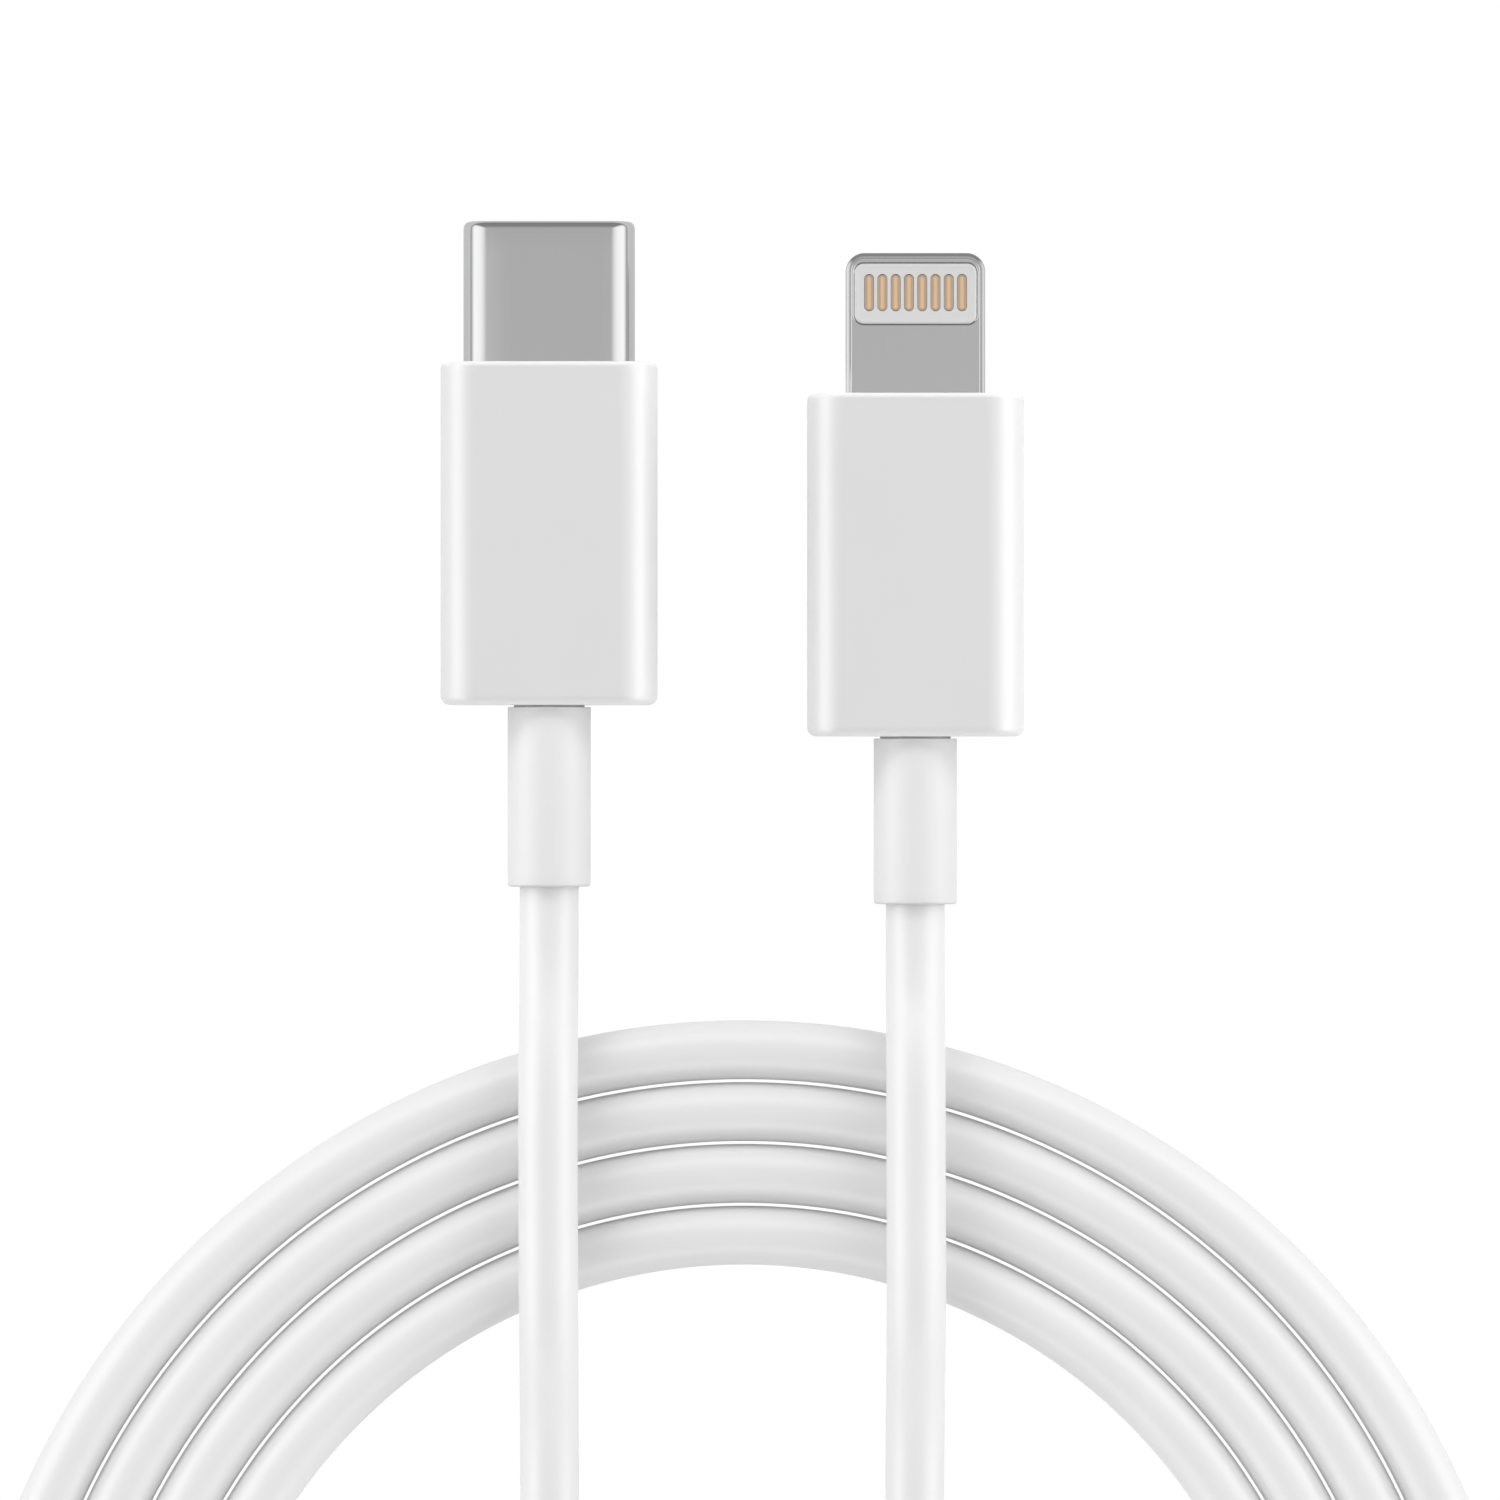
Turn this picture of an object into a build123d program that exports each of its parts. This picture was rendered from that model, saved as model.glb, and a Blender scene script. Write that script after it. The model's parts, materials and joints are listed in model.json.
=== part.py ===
from build123d import *
import math
import os

# Charging cable: a USB type C plug and an eight-contact tab plug on one thin
# round cord. Both plugs lie on the table side by side and point along +Y, the
# leads run straight out of their strain reliefs towards -Y, cross over the top
# of a neat flat coil of four touching turns, and run into it on its far side.
# Frame: millimetres, +X right, +Y the way the plugs point, +Z up. The origin is
# on the table, in the middle of the two plugs' box.

os.makedirs("parts", exist_ok=True)

# ---------------------------------------------------------------- dimensions
AXIS_Z = 2.6            # height of both plugs' centre lines over the table

# moulded housings and strain reliefs, the same size on both plugs
HOUSING_W = 10.4
HOUSING_H = 5.2
HOUSING_L = 16.43
HOUSING_R = 1.9         # long corners
HOUSING_REAR_R = 0.45   # edge round the rear face
HOUSING_FRONT_R = 0.2   # edge round the front face
CAVITY_W, CAVITY_H, CAVITY_R = 9.0, 3.8, 1.25
FRONT_WALL, REAR_WALL = 1.2, 1.23
RELIEF_D = 4.0
NECK_D = 3.4
FLANGE_D = 3.7
RELIEF_BORE = 2.90

# cord
CORD_D = 2.86
JACKET_BORE = 2.32
BRAID_OD, BRAID_ID = 2.28, 1.96
WIRE_D = 0.56
WIRE_OFFSET = 0.33

JACKET_CUT = -2.75      # where the type C plug's jacket is stripped back to

# type C plug
USB_X = -8.8
USB_TIP = 16.39
USB_FRONT = 9.6         # front face of the housing
USB_REAR = USB_FRONT - HOUSING_L
USB_RELIEF_END = -15.55
SHELL_W, SHELL_H, SHELL_T = 8.25, 2.4, 0.3
SHELL_L = 9.5
INSULATOR_W, INSULATOR_H = 7.6, 1.75
MOUTH_W, MOUTH_H, MOUTH_DEPTH = 6.9, 0.9, 5.2
CONTACTS_PER_ROW = 12
CONTACT_PITCH = 0.5
CONTACT_W, CONTACT_T = 0.25, 0.15
ROW_PIVOT_Y = 10.7      # where the sprung contacts leave the insulator
ARM_PIVOT_Y = 9.9       # where the latch arms leave the latch plate

# eight-contact tab plug
TAB_X = 8.8
TAB_TIP = 14.88
TAB_FRONT = 8.09
TAB_REAR = TAB_FRONT - HOUSING_L
TAB_RELIEF_END = -16.39
TAB_W, TAB_H, TAB_TIP_R, TAB_EDGE_R = 6.7, 1.5, 0.9, 0.25
WINDOW_W, WINDOW_L, WINDOW_R, WINDOW_Y = 5.93, 2.95, 0.47, 12.91
PADS_PER_ROW = 8
PAD_W, PAD_L, PAD_T, PAD_PITCH, PAD_Y = 0.46, 1.78, 0.13, 0.637, 12.96

# flat coil of four turns
COIL_X, COIL_Y = 0.56, -60.0
COIL_R1 = 27.62         # centre line of the innermost turn
COIL_PITCH = 2.98       # from one turn to the next
COIL_TURNS = 4
COIL_EDGE_R = 1.36

# cord route: the free stretch on each side of the coil
USB_LEAD_ROUTE = [
    (-8.80, -15.55, 2.60), (-8.80, -19.30, 2.60), (-8.81, -25.20, 4.96),
    (-8.80, -31.00, 4.70), (-8.78, -35.90, 4.76), (-8.80, -43.00, 1.60),
    (-8.82, -50.20, 1.46), (-8.80, -57.30, 1.46), (-8.76, -64.30, 1.45),
    (-8.80, -70.71, 1.45), (-6.25, -76.87, 1.45), (-1.54, -81.56, 1.45),
    (4.62, -84.08, 1.45), (11.26, -84.03, 1.45), (17.34, -81.44, 1.45),
    (22.44, -76.79, 1.45),
]
TAB_LEAD_ROUTE = [
    (8.80, -16.39, 2.60), (8.80, -20.05, 2.60), (8.79, -25.00, 5.00),
    (8.80, -30.60, 4.70), (8.82, -35.60, 4.76), (8.80, -42.70, 1.60),
    (8.78, -49.80, 1.46), (8.80, -56.80, 1.47), (8.82, -63.40, 1.58),
    (8.80, -69.60, 2.25), (8.80, -75.69, 3.60), (5.76, -83.03, 4.85),
    (0.15, -88.64, 4.82), (-7.19, -91.68, 4.76), (-15.13, -91.68, 4.52),
    (-22.47, -88.64, 2.86), (-28.70, -82.45, 1.45),
]


def across(x, y):
    """Plane square to a plug's length: local x is +X, local y is +Z."""
    return Plane(origin=(x, y, AXIS_Z), x_dir=(1, 0, 0), z_dir=(0, -1, 0))


def level(x, z):
    """Level plane on a plug's centre line, z over the plug's mid-plane."""
    return Plane(origin=(x, 0, AXIS_Z + z), x_dir=(1, 0, 0), z_dir=(0, 0, 1))


def side(x):
    """Upright plane along a plug: local x is +Y, local y is +Z."""
    return Plane(origin=(x, 0, AXIS_Z), x_dir=(0, 1, 0), z_dir=(1, 0, 0))


def corner_radii(points):
    """Largest tangent arc at each corner: 0.45 of the shorter run over the
    tangent of half the turn."""
    radii = []
    for a, b, c in zip(points, points[1:], points[2:]):
        before, after = Vector(*b) - Vector(*a), Vector(*c) - Vector(*b)
        turn = before.get_angle(after)
        shorter = min(before.length, after.length)
        radii.append(0.45 * shorter / math.tan(math.radians(turn) / 2))
    return radii


# ================================================================ type C plug
# drawn steel shell, a flattened tube with full-round sides
with BuildPart() as usb_c_shell:
    with BuildSketch(across(USB_X, USB_TIP)):
        SlotOverall(SHELL_W, SHELL_H)
        SlotOverall(SHELL_W - 2 * SHELL_T, SHELL_H - 2 * SHELL_T, mode=Mode.SUBTRACT)
    extrude(amount=SHELL_L)
    mouth_face = usb_c_shell.faces().sort_by(Axis.Y)[-1]
    fillet(mouth_face.outer_wire().edges(), 0.18)
usb_c_shell.part.label = "usb_c_shell"
export_step(usb_c_shell.part, "parts/usb_c_shell.step")

# black nozzle in the shell, with the mouth and room for everything that flexes
INSULATOR_FRONT = USB_TIP - 0.25
INSULATOR_REAR = 8.0
with BuildPart() as usb_c_insulator:
    with BuildSketch(across(USB_X, INSULATOR_FRONT)):
        SlotOverall(INSULATOR_W, INSULATOR_H)
    extrude(amount=INSULATOR_FRONT - INSULATOR_REAR)
    with BuildSketch(across(USB_X, INSULATOR_FRONT)):
        Rectangle(MOUTH_W, MOUTH_H)
    extrude(amount=MOUTH_DEPTH, mode=Mode.SUBTRACT)
    # side channels for the latch arms
    with BuildSketch(across(USB_X, 15.5)):
        with Locations((-3.425, 0), (3.425, 0)):
            Rectangle(0.95, 0.7)
    extrude(amount=15.5 - 9.3, mode=Mode.SUBTRACT)
    # comb of channels over and under the sprung contacts
    with BuildSketch(across(USB_X, 15.7)):
        with GridLocations(CONTACT_PITCH, 1.08, CONTACTS_PER_ROW, 2):
            Rectangle(0.32, 0.36)
    extrude(amount=15.7 - 10.45, mode=Mode.SUBTRACT)
    # passages for the contact tails and the latch plate
    with BuildSketch(across(USB_X, 10.7)):
        with GridLocations(CONTACT_PITCH, 0.95, CONTACTS_PER_ROW, 2):
            Rectangle(0.27, 0.17)
    extrude(amount=3.0, mode=Mode.SUBTRACT)
    with BuildSketch(across(USB_X, 10.35)):
        Rectangle(6.94, 0.26)
    extrude(amount=3.0, mode=Mode.SUBTRACT)
    # recesses for the ground springs
    with BuildSketch(level(USB_X, 0.80)):
        with Locations((0, 12.6)):
            Rectangle(5.8, 2.6)
    extrude(amount=0.2, mode=Mode.SUBTRACT)
    with BuildSketch(level(USB_X, -0.80)):
        with Locations((0, 12.6)):
            Rectangle(5.8, 2.6)
    extrude(amount=-0.2, mode=Mode.SUBTRACT)
usb_c_insulator.part.label = "usb_c_insulator"
export_step(usb_c_insulator.part, "parts/usb_c_insulator.step")

# twelve sprung contacts in each row, bent towards the middle of the mouth
first_x = USB_X - CONTACT_PITCH * (CONTACTS_PER_ROW - 1) / 2 - CONTACT_W / 2
BEAM = [
    (10.72, 0.40), (12.50, 0.345), (14.60, 0.17), (14.90, 0.17), (15.45, 0.345),
    (15.45, 0.495), (14.90, 0.33), (14.60, 0.33), (12.50, 0.495), (10.72, 0.55),
]
with BuildPart() as usb_c_upper_contacts:
    with BuildSketch(*[side(first_x + i * CONTACT_PITCH) for i in range(CONTACTS_PER_ROW)]):
        with BuildLine():
            Polyline(*BEAM, close=True)
        make_face()
    extrude(amount=CONTACT_W)
usb_c_upper_contacts.part.label = "usb_c_upper_contacts"
export_step(usb_c_upper_contacts.part, "parts/usb_c_upper_contacts.step")

with BuildPart() as usb_c_lower_contacts:
    with BuildSketch(*[side(first_x + i * CONTACT_PITCH) for i in range(CONTACTS_PER_ROW)]):
        with BuildLine():
            Polyline(*[(y, -z) for y, z in BEAM], close=True)
        make_face()
    extrude(amount=CONTACT_W)
usb_c_lower_contacts.part.label = "usb_c_lower_contacts"
export_step(usb_c_lower_contacts.part, "parts/usb_c_lower_contacts.step")

# fixed tails of the same contacts, through the nozzle to the board
with BuildPart() as usb_c_contact_tails:
    with BuildSketch(across(USB_X, 10.66)):
        with GridLocations(CONTACT_PITCH, 0.95, CONTACTS_PER_ROW, 2):
            Rectangle(CONTACT_W, CONTACT_T)
    extrude(amount=10.66 - 6.6)
usb_c_contact_tails.part.label = "usb_c_contact_tails"
export_step(usb_c_contact_tails.part, "parts/usb_c_contact_tails.step")

# steel plate between the two contact rows, which the latch arms grow from
with BuildPart() as usb_c_latch_plate:
    with BuildSketch(level(USB_X, -0.12)):
        with BuildLine():
            Polyline(
                (-3.4, 7.5), (3.4, 7.5), (3.4, 9.84), (2.9, 9.84), (2.9, 10.3),
                (-2.9, 10.3), (-2.9, 9.84), (-3.4, 9.84), close=True,
            )
        make_face()
        with Locations((-1.8, 8.9), (1.8, 8.9)):
            Circle(0.35, mode=Mode.SUBTRACT)
    extrude(amount=0.24)
usb_c_latch_plate.part.label = "usb_c_latch_plate"
export_step(usb_c_latch_plate.part, "parts/usb_c_latch_plate.step")

# hooked latch arms, one each side of the mouth
ARM = [
    (3.15, 9.92), (3.40, 9.92), (3.40, 14.70), (3.15, 14.70), (2.98, 14.25),
    (2.98, 14.05), (3.15, 13.60),
]
with BuildPart() as usb_c_right_latch_arm:
    with BuildSketch(level(USB_X, -0.25)):
        with BuildLine():
            Polyline(*ARM, close=True)
        make_face()
    extrude(amount=0.5)
usb_c_right_latch_arm.part.label = "usb_c_right_latch_arm"
export_step(usb_c_right_latch_arm.part, "parts/usb_c_right_latch_arm.step")

with BuildPart() as usb_c_left_latch_arm:
    with BuildSketch(level(USB_X, -0.25)):
        with BuildLine():
            Polyline(*[(-x, y) for x, y in ARM], close=True)
        make_face()
    extrude(amount=0.5)
usb_c_left_latch_arm.part.label = "usb_c_left_latch_arm"
export_step(usb_c_left_latch_arm.part, "parts/usb_c_left_latch_arm.step")

# thin ground springs in the nozzle's two recesses, each with three tongues
with BuildPart() as usb_c_upper_ground_spring:
    with BuildSketch(level(USB_X, 0.805)):
        with Locations((0, 12.6)):
            RectangleRounded(5.7, 2.5, 0.3)
        with Locations((-1.8, 12.6), (0, 12.6), (1.8, 12.6)):
            Rectangle(1.2, 1.6, mode=Mode.SUBTRACT)
        with Locations((-1.8, 12.4), (0, 12.4), (1.8, 12.4)):
            Rectangle(0.7, 1.4)
    extrude(amount=0.07)
usb_c_upper_ground_spring.part.label = "usb_c_upper_ground_spring"
export_step(usb_c_upper_ground_spring.part, "parts/usb_c_upper_ground_spring.step")

with BuildPart() as usb_c_lower_ground_spring:
    with BuildSketch(level(USB_X, -0.875)):
        with Locations((0, 12.6)):
            RectangleRounded(5.7, 2.5, 0.3)
        with Locations((-1.8, 12.6), (0, 12.6), (1.8, 12.6)):
            Rectangle(1.2, 1.6, mode=Mode.SUBTRACT)
        with Locations((-1.8, 12.4), (0, 12.4), (1.8, 12.4)):
            Rectangle(0.7, 1.4)
    extrude(amount=0.07)
usb_c_lower_ground_spring.part.label = "usb_c_lower_ground_spring"
export_step(usb_c_lower_ground_spring.part, "parts/usb_c_lower_ground_spring.step")

# small board that joins the contact tails to the cord's wires
USB_BOARD_REAR = 1.6
with BuildPart() as usb_c_circuit_board:
    with BuildSketch(level(USB_X, -0.4)):
        with Locations((0, (7.4 + USB_BOARD_REAR) / 2)):
            Rectangle(7.0, 7.4 - USB_BOARD_REAR)
    extrude(amount=0.8)
usb_c_circuit_board.part.label = "usb_c_circuit_board"
export_step(usb_c_circuit_board.part, "parts/usb_c_circuit_board.step")

# pull-up resistors and a capacitor on the board
with BuildPart() as usb_c_board_parts:
    with BuildSketch(level(USB_X, 0.4)):
        with Locations((-2.1, 5.2)):
            Rectangle(1.6, 0.8)
        with Locations((1.9, 5.6), (1.9, 4.7)):
            Rectangle(1.0, 0.5)
    extrude(amount=0.4)
usb_c_board_parts.part.label = "usb_c_board_parts"
export_step(usb_c_board_parts.part, "parts/usb_c_board_parts.step")

# two drawn halves of the metal can round the board
SHIELD_W, SHIELD_H, SHIELD_R, SHIELD_T = 8.2, 3.0, 0.5, 0.15
USB_CAN_FRONT, USB_CAN_REAR = 6.8, -2.6
with BuildPart() as usb_c_upper_shield:
    with BuildSketch(across(USB_X, USB_CAN_FRONT)):
        RectangleRounded(SHIELD_W, SHIELD_H, SHIELD_R)
    extrude(amount=USB_CAN_FRONT - USB_CAN_REAR)
    with BuildSketch(across(USB_X, USB_CAN_FRONT)):
        RectangleRounded(SHIELD_W - 2 * SHIELD_T, SHIELD_H - 2 * SHIELD_T, SHIELD_R - SHIELD_T)
    extrude(amount=USB_CAN_FRONT - USB_CAN_REAR - SHIELD_T, mode=Mode.SUBTRACT)
    with BuildSketch(across(USB_X, USB_CAN_REAR + 0.5)):
        Circle(1.25)
    extrude(amount=1, mode=Mode.SUBTRACT)
    split(bisect_by=level(USB_X, 0), keep=Keep.TOP)
usb_c_upper_shield.part.label = "usb_c_upper_shield"
export_step(usb_c_upper_shield.part, "parts/usb_c_upper_shield.step")

with BuildPart() as usb_c_lower_shield:
    with BuildSketch(across(USB_X, USB_CAN_FRONT)):
        RectangleRounded(SHIELD_W, SHIELD_H, SHIELD_R)
    extrude(amount=USB_CAN_FRONT - USB_CAN_REAR)
    with BuildSketch(across(USB_X, USB_CAN_FRONT)):
        RectangleRounded(SHIELD_W - 2 * SHIELD_T, SHIELD_H - 2 * SHIELD_T, SHIELD_R - SHIELD_T)
    extrude(amount=USB_CAN_FRONT - USB_CAN_REAR - SHIELD_T, mode=Mode.SUBTRACT)
    with BuildSketch(across(USB_X, USB_CAN_REAR + 0.5)):
        Circle(1.25)
    extrude(amount=1, mode=Mode.SUBTRACT)
    split(bisect_by=level(USB_X, 0), keep=Keep.BOTTOM)
usb_c_lower_shield.part.label = "usb_c_lower_shield"
export_step(usb_c_lower_shield.part, "parts/usb_c_lower_shield.step")

# crimped sleeve that ties the cord's screen to the can
FERRULE_OD, FERRULE_ID = 3.5, 2.91
with BuildPart() as usb_c_crimp_ferrule:
    with BuildSketch(across(USB_X, USB_CAN_REAR - 0.12)):
        Circle(FERRULE_OD / 2)
        Circle(FERRULE_ID / 2, mode=Mode.SUBTRACT)
    extrude(amount=1.65)
usb_c_crimp_ferrule.part.label = "usb_c_crimp_ferrule"
export_step(usb_c_crimp_ferrule.part, "parts/usb_c_crimp_ferrule.step")

# end of the woven screen inside the jacket
with BuildPart() as usb_c_braid_end:
    with BuildSketch(across(USB_X, -1.2)):
        Circle(BRAID_OD / 2)
        Circle(BRAID_ID / 2, mode=Mode.SUBTRACT)
    extrude(amount=-1.2 - (USB_RELIEF_END + 0.1))
usb_c_braid_end.part.label = "usb_c_braid_end"
export_step(usb_c_braid_end.part, "parts/usb_c_braid_end.step")

# end of the cord's jacket, inside the strain relief and the plug
with BuildPart() as usb_c_jacket_end:
    with BuildSketch(across(USB_X, JACKET_CUT)):
        Circle(CORD_D / 2)
        Circle(JACKET_BORE / 2, mode=Mode.SUBTRACT)
    extrude(amount=JACKET_CUT - USB_RELIEF_END)
usb_c_jacket_end.part.label = "usb_c_jacket_end"
export_step(usb_c_jacket_end.part, "parts/usb_c_jacket_end.step")

# first moulding, round the can and the ferrule
with BuildPart() as usb_c_inner_mould:
    with BuildSketch(across(USB_X, 8.3)):
        RectangleRounded(8.9, 3.7, 1.2)
    extrude(amount=8.3 + 4.5)
    with BuildSketch(across(USB_X, 8.3)):
        RectangleRounded(8.3, 3.1, 0.55)
    extrude(amount=8.3 - (USB_CAN_REAR - 0.1), mode=Mode.SUBTRACT)
    with BuildSketch(across(USB_X, 8.3)):
        Circle(1.8)
    extrude(amount=20, mode=Mode.SUBTRACT)
usb_c_inner_mould.part.label = "usb_c_inner_mould"
export_step(usb_c_inner_mould.part, "parts/usb_c_inner_mould.step")

# white housing
with BuildPart() as usb_c_housing:
    with BuildSketch(across(USB_X, USB_FRONT)):
        RectangleRounded(HOUSING_W, HOUSING_H, HOUSING_R)
    extrude(amount=HOUSING_L)
    fillet(usb_c_housing.faces().sort_by(Axis.Y)[0].edges(), HOUSING_REAR_R)
    fillet(usb_c_housing.faces().sort_by(Axis.Y)[-1].edges(), HOUSING_FRONT_R)
    with BuildSketch(across(USB_X, USB_FRONT - FRONT_WALL)):
        RectangleRounded(CAVITY_W, CAVITY_H, CAVITY_R)
    extrude(amount=HOUSING_L - FRONT_WALL - REAR_WALL, mode=Mode.SUBTRACT)
    with BuildSketch(across(USB_X, USB_FRONT)):
        SlotOverall(SHELL_W + 0.06, SHELL_H + 0.06)
    extrude(amount=FRONT_WALL, mode=Mode.SUBTRACT)
    with BuildSketch(across(USB_X, USB_REAR)):
        Circle(NECK_D / 2 + 0.03)
    extrude(amount=-REAR_WALL, mode=Mode.SUBTRACT)
usb_c_housing.part.label = "usb_c_housing"
export_step(usb_c_housing.part, "parts/usb_c_housing.step")

# strain relief: sleeve outside, neck through the rear wall, flange inside
with BuildPart() as usb_c_strain_relief:
    with BuildSketch(across(USB_X, USB_REAR - 0.02)):
        Circle(RELIEF_D / 2)
    extrude(amount=USB_REAR - 0.02 - USB_RELIEF_END)
    fillet(usb_c_strain_relief.faces().sort_by(Axis.Y)[0].edges(), 0.12)
    with BuildSketch(across(USB_X, USB_REAR - 0.02)):
        Circle(NECK_D / 2)
    extrude(amount=-(REAR_WALL + 0.04))
    with BuildSketch(across(USB_X, USB_REAR + REAR_WALL + 0.02)):
        Circle(FLANGE_D / 2)
    extrude(amount=-0.9)
    with BuildSketch(across(USB_X, 0)):
        Circle(RELIEF_BORE / 2)
    extrude(amount=20, mode=Mode.SUBTRACT)
usb_c_strain_relief.part.label = "usb_c_strain_relief"
export_step(usb_c_strain_relief.part, "parts/usb_c_strain_relief.step")


def wire_route(x, start_y, dx, dz, pad_x, bend_y, pad_y, end_y):
    """Straight along the cord, then fanned out and up on to the board."""
    return [
        (x + dx, start_y, AXIS_Z + dz), (x + dx, bend_y, AXIS_Z + dz),
        (x + pad_x, pad_y, AXIS_Z + 0.4 + WIRE_D / 2 + 0.01),
        (x + pad_x, end_y, AXIS_Z + 0.4 + WIRE_D / 2 + 0.01),
    ]


USB_WIRE = dict(x=USB_X, start_y=USB_RELIEF_END + 0.15, bend_y=-0.9, pad_y=1.0, end_y=2.98)

with BuildPart() as usb_c_red_wire:
    with BuildLine() as usb_red_path:
        FilletPolyline(*wire_route(dx=-WIRE_OFFSET, dz=WIRE_OFFSET, pad_x=-2.4, **USB_WIRE), radius=0.8)
    with BuildSketch(Plane(origin=usb_red_path.line @ 0, z_dir=usb_red_path.line % 0)):
        Circle(WIRE_D / 2)
    sweep()
usb_c_red_wire.part.label = "usb_c_red_wire"
export_step(usb_c_red_wire.part, "parts/usb_c_red_wire.step")

with BuildPart() as usb_c_white_wire:
    with BuildLine() as usb_white_path:
        FilletPolyline(*wire_route(dx=-WIRE_OFFSET, dz=-WIRE_OFFSET, pad_x=-0.8, **USB_WIRE), radius=0.8)
    with BuildSketch(Plane(origin=usb_white_path.line @ 0, z_dir=usb_white_path.line % 0)):
        Circle(WIRE_D / 2)
    sweep()
usb_c_white_wire.part.label = "usb_c_white_wire"
export_step(usb_c_white_wire.part, "parts/usb_c_white_wire.step")

with BuildPart() as usb_c_green_wire:
    with BuildLine() as usb_green_path:
        FilletPolyline(*wire_route(dx=WIRE_OFFSET, dz=-WIRE_OFFSET, pad_x=0.8, **USB_WIRE), radius=0.8)
    with BuildSketch(Plane(origin=usb_green_path.line @ 0, z_dir=usb_green_path.line % 0)):
        Circle(WIRE_D / 2)
    sweep()
usb_c_green_wire.part.label = "usb_c_green_wire"
export_step(usb_c_green_wire.part, "parts/usb_c_green_wire.step")

with BuildPart() as usb_c_black_wire:
    with BuildLine() as usb_black_path:
        FilletPolyline(*wire_route(dx=WIRE_OFFSET, dz=WIRE_OFFSET, pad_x=2.4, **USB_WIRE), radius=0.8)
    with BuildSketch(Plane(origin=usb_black_path.line @ 0, z_dir=usb_black_path.line % 0)):
        Circle(WIRE_D / 2)
    sweep()
usb_c_black_wire.part.label = "usb_c_black_wire"
export_step(usb_c_black_wire.part, "parts/usb_c_black_wire.step")

# solder domes at the wires' ends
with BuildPart() as usb_c_solder_joints:
    with BuildSketch(level(USB_X, 0.4)):
        with Locations((-2.4, 3.42), (-0.8, 3.42), (0.8, 3.42), (2.4, 3.42)):
            RectangleRounded(0.95, 0.8, 0.3)
    extrude(amount=0.45)
    fillet(usb_c_solder_joints.faces().group_by(Axis.Z)[-1].edges(), 0.28)
usb_c_solder_joints.part.label = "usb_c_solder_joints"
export_step(usb_c_solder_joints.part, "parts/usb_c_solder_joints.step")

# ================================================================ tab plug
# one-piece steel tab: window for the contact carrier, hollow behind it for the
# board, and a flange that sits behind the housing's front wall
with BuildPart() as tab_body:
    with BuildSketch(level(TAB_X, -TAB_H / 2)) as tab_outline:
        with Locations((0, (TAB_TIP + 6.0) / 2)):
            Rectangle(TAB_W, TAB_TIP - 6.0)
        fillet(tab_outline.vertices().group_by(Axis.Y)[-1], TAB_TIP_R)
    extrude(amount=TAB_H)
    fillet(
        tab_body.edges().group_by(Axis.Z)[-1].filter_by(lambda e: e.center().Y > 6.1)
        + tab_body.edges().group_by(Axis.Z)[0].filter_by(lambda e: e.center().Y > 6.1),
        TAB_EDGE_R,
    )
    with BuildSketch(across(TAB_X, 6.8)):
        RectangleRounded(7.8, 2.4, 0.5)
    extrude(amount=1.2)
    with BuildSketch(level(TAB_X, -2)):
        with Locations((0, WINDOW_Y)):
            RectangleRounded(WINDOW_W, WINDOW_L, WINDOW_R)
    extrude(amount=4, mode=Mode.SUBTRACT)
    with BuildSketch(across(TAB_X, 11.8)):
        Rectangle(5.2, 0.9)
    extrude(amount=7, mode=Mode.SUBTRACT)
    # shallow catches in the two side edges
    with BuildSketch(level(TAB_X, -0.35)):
        with Locations((-TAB_W / 2 - 0.15, 10.4), (TAB_W / 2 + 0.15, 10.4)):
            Circle(0.42)
    extrude(amount=0.7, mode=Mode.SUBTRACT)
tab_body.part.label = "tab_body"
export_step(tab_body.part, "parts/tab_body.step")

# moulded carrier in the window, with pockets for the contacts on both faces
with BuildPart() as tab_contact_carrier:
    with BuildSketch(level(TAB_X, -0.73)):
        with Locations((0, WINDOW_Y)):
            RectangleRounded(WINDOW_W - 0.03, WINDOW_L - 0.03, WINDOW_R - 0.01)
    extrude(amount=1.46)
    with BuildSketch(across(TAB_X, 11.7)):
        Rectangle(5.16, 0.86)
    extrude(amount=2.5)
    with BuildSketch(level(TAB_X, 0.60)):
        with Locations((0, PAD_Y)):
            with GridLocations(PAD_PITCH, 1, PADS_PER_ROW, 1):
                SlotOverall(PAD_L + 0.02, PAD_W + 0.02, rotation=90)
    extrude(amount=0.3, mode=Mode.SUBTRACT)
    with BuildSketch(level(TAB_X, -0.60)):
        with Locations((0, PAD_Y)):
            with GridLocations(PAD_PITCH, 1, PADS_PER_ROW, 1):
                SlotOverall(PAD_L + 0.02, PAD_W + 0.02, rotation=90)
    extrude(amount=-0.3, mode=Mode.SUBTRACT)
tab_contact_carrier.part.label = "tab_contact_carrier"
export_step(tab_contact_carrier.part, "parts/tab_contact_carrier.step")

# eight round-ended contacts on each face
with BuildPart() as tab_upper_contacts:
    with BuildSketch(level(TAB_X, 0.60)):
        with Locations((0, PAD_Y)):
            with GridLocations(PAD_PITCH, 1, PADS_PER_ROW, 1):
                SlotOverall(PAD_L, PAD_W, rotation=90)
    extrude(amount=PAD_T + 0.01)
tab_upper_contacts.part.label = "tab_upper_contacts"
export_step(tab_upper_contacts.part, "parts/tab_upper_contacts.step")

with BuildPart() as tab_lower_contacts:
    with BuildSketch(level(TAB_X, -0.60)):
        with Locations((0, PAD_Y)):
            with GridLocations(PAD_PITCH, 1, PADS_PER_ROW, 1):
                SlotOverall(PAD_L, PAD_W, rotation=90)
    extrude(amount=-(PAD_T + 0.01))
tab_lower_contacts.part.label = "tab_lower_contacts"
export_step(tab_lower_contacts.part, "parts/tab_lower_contacts.step")

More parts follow.
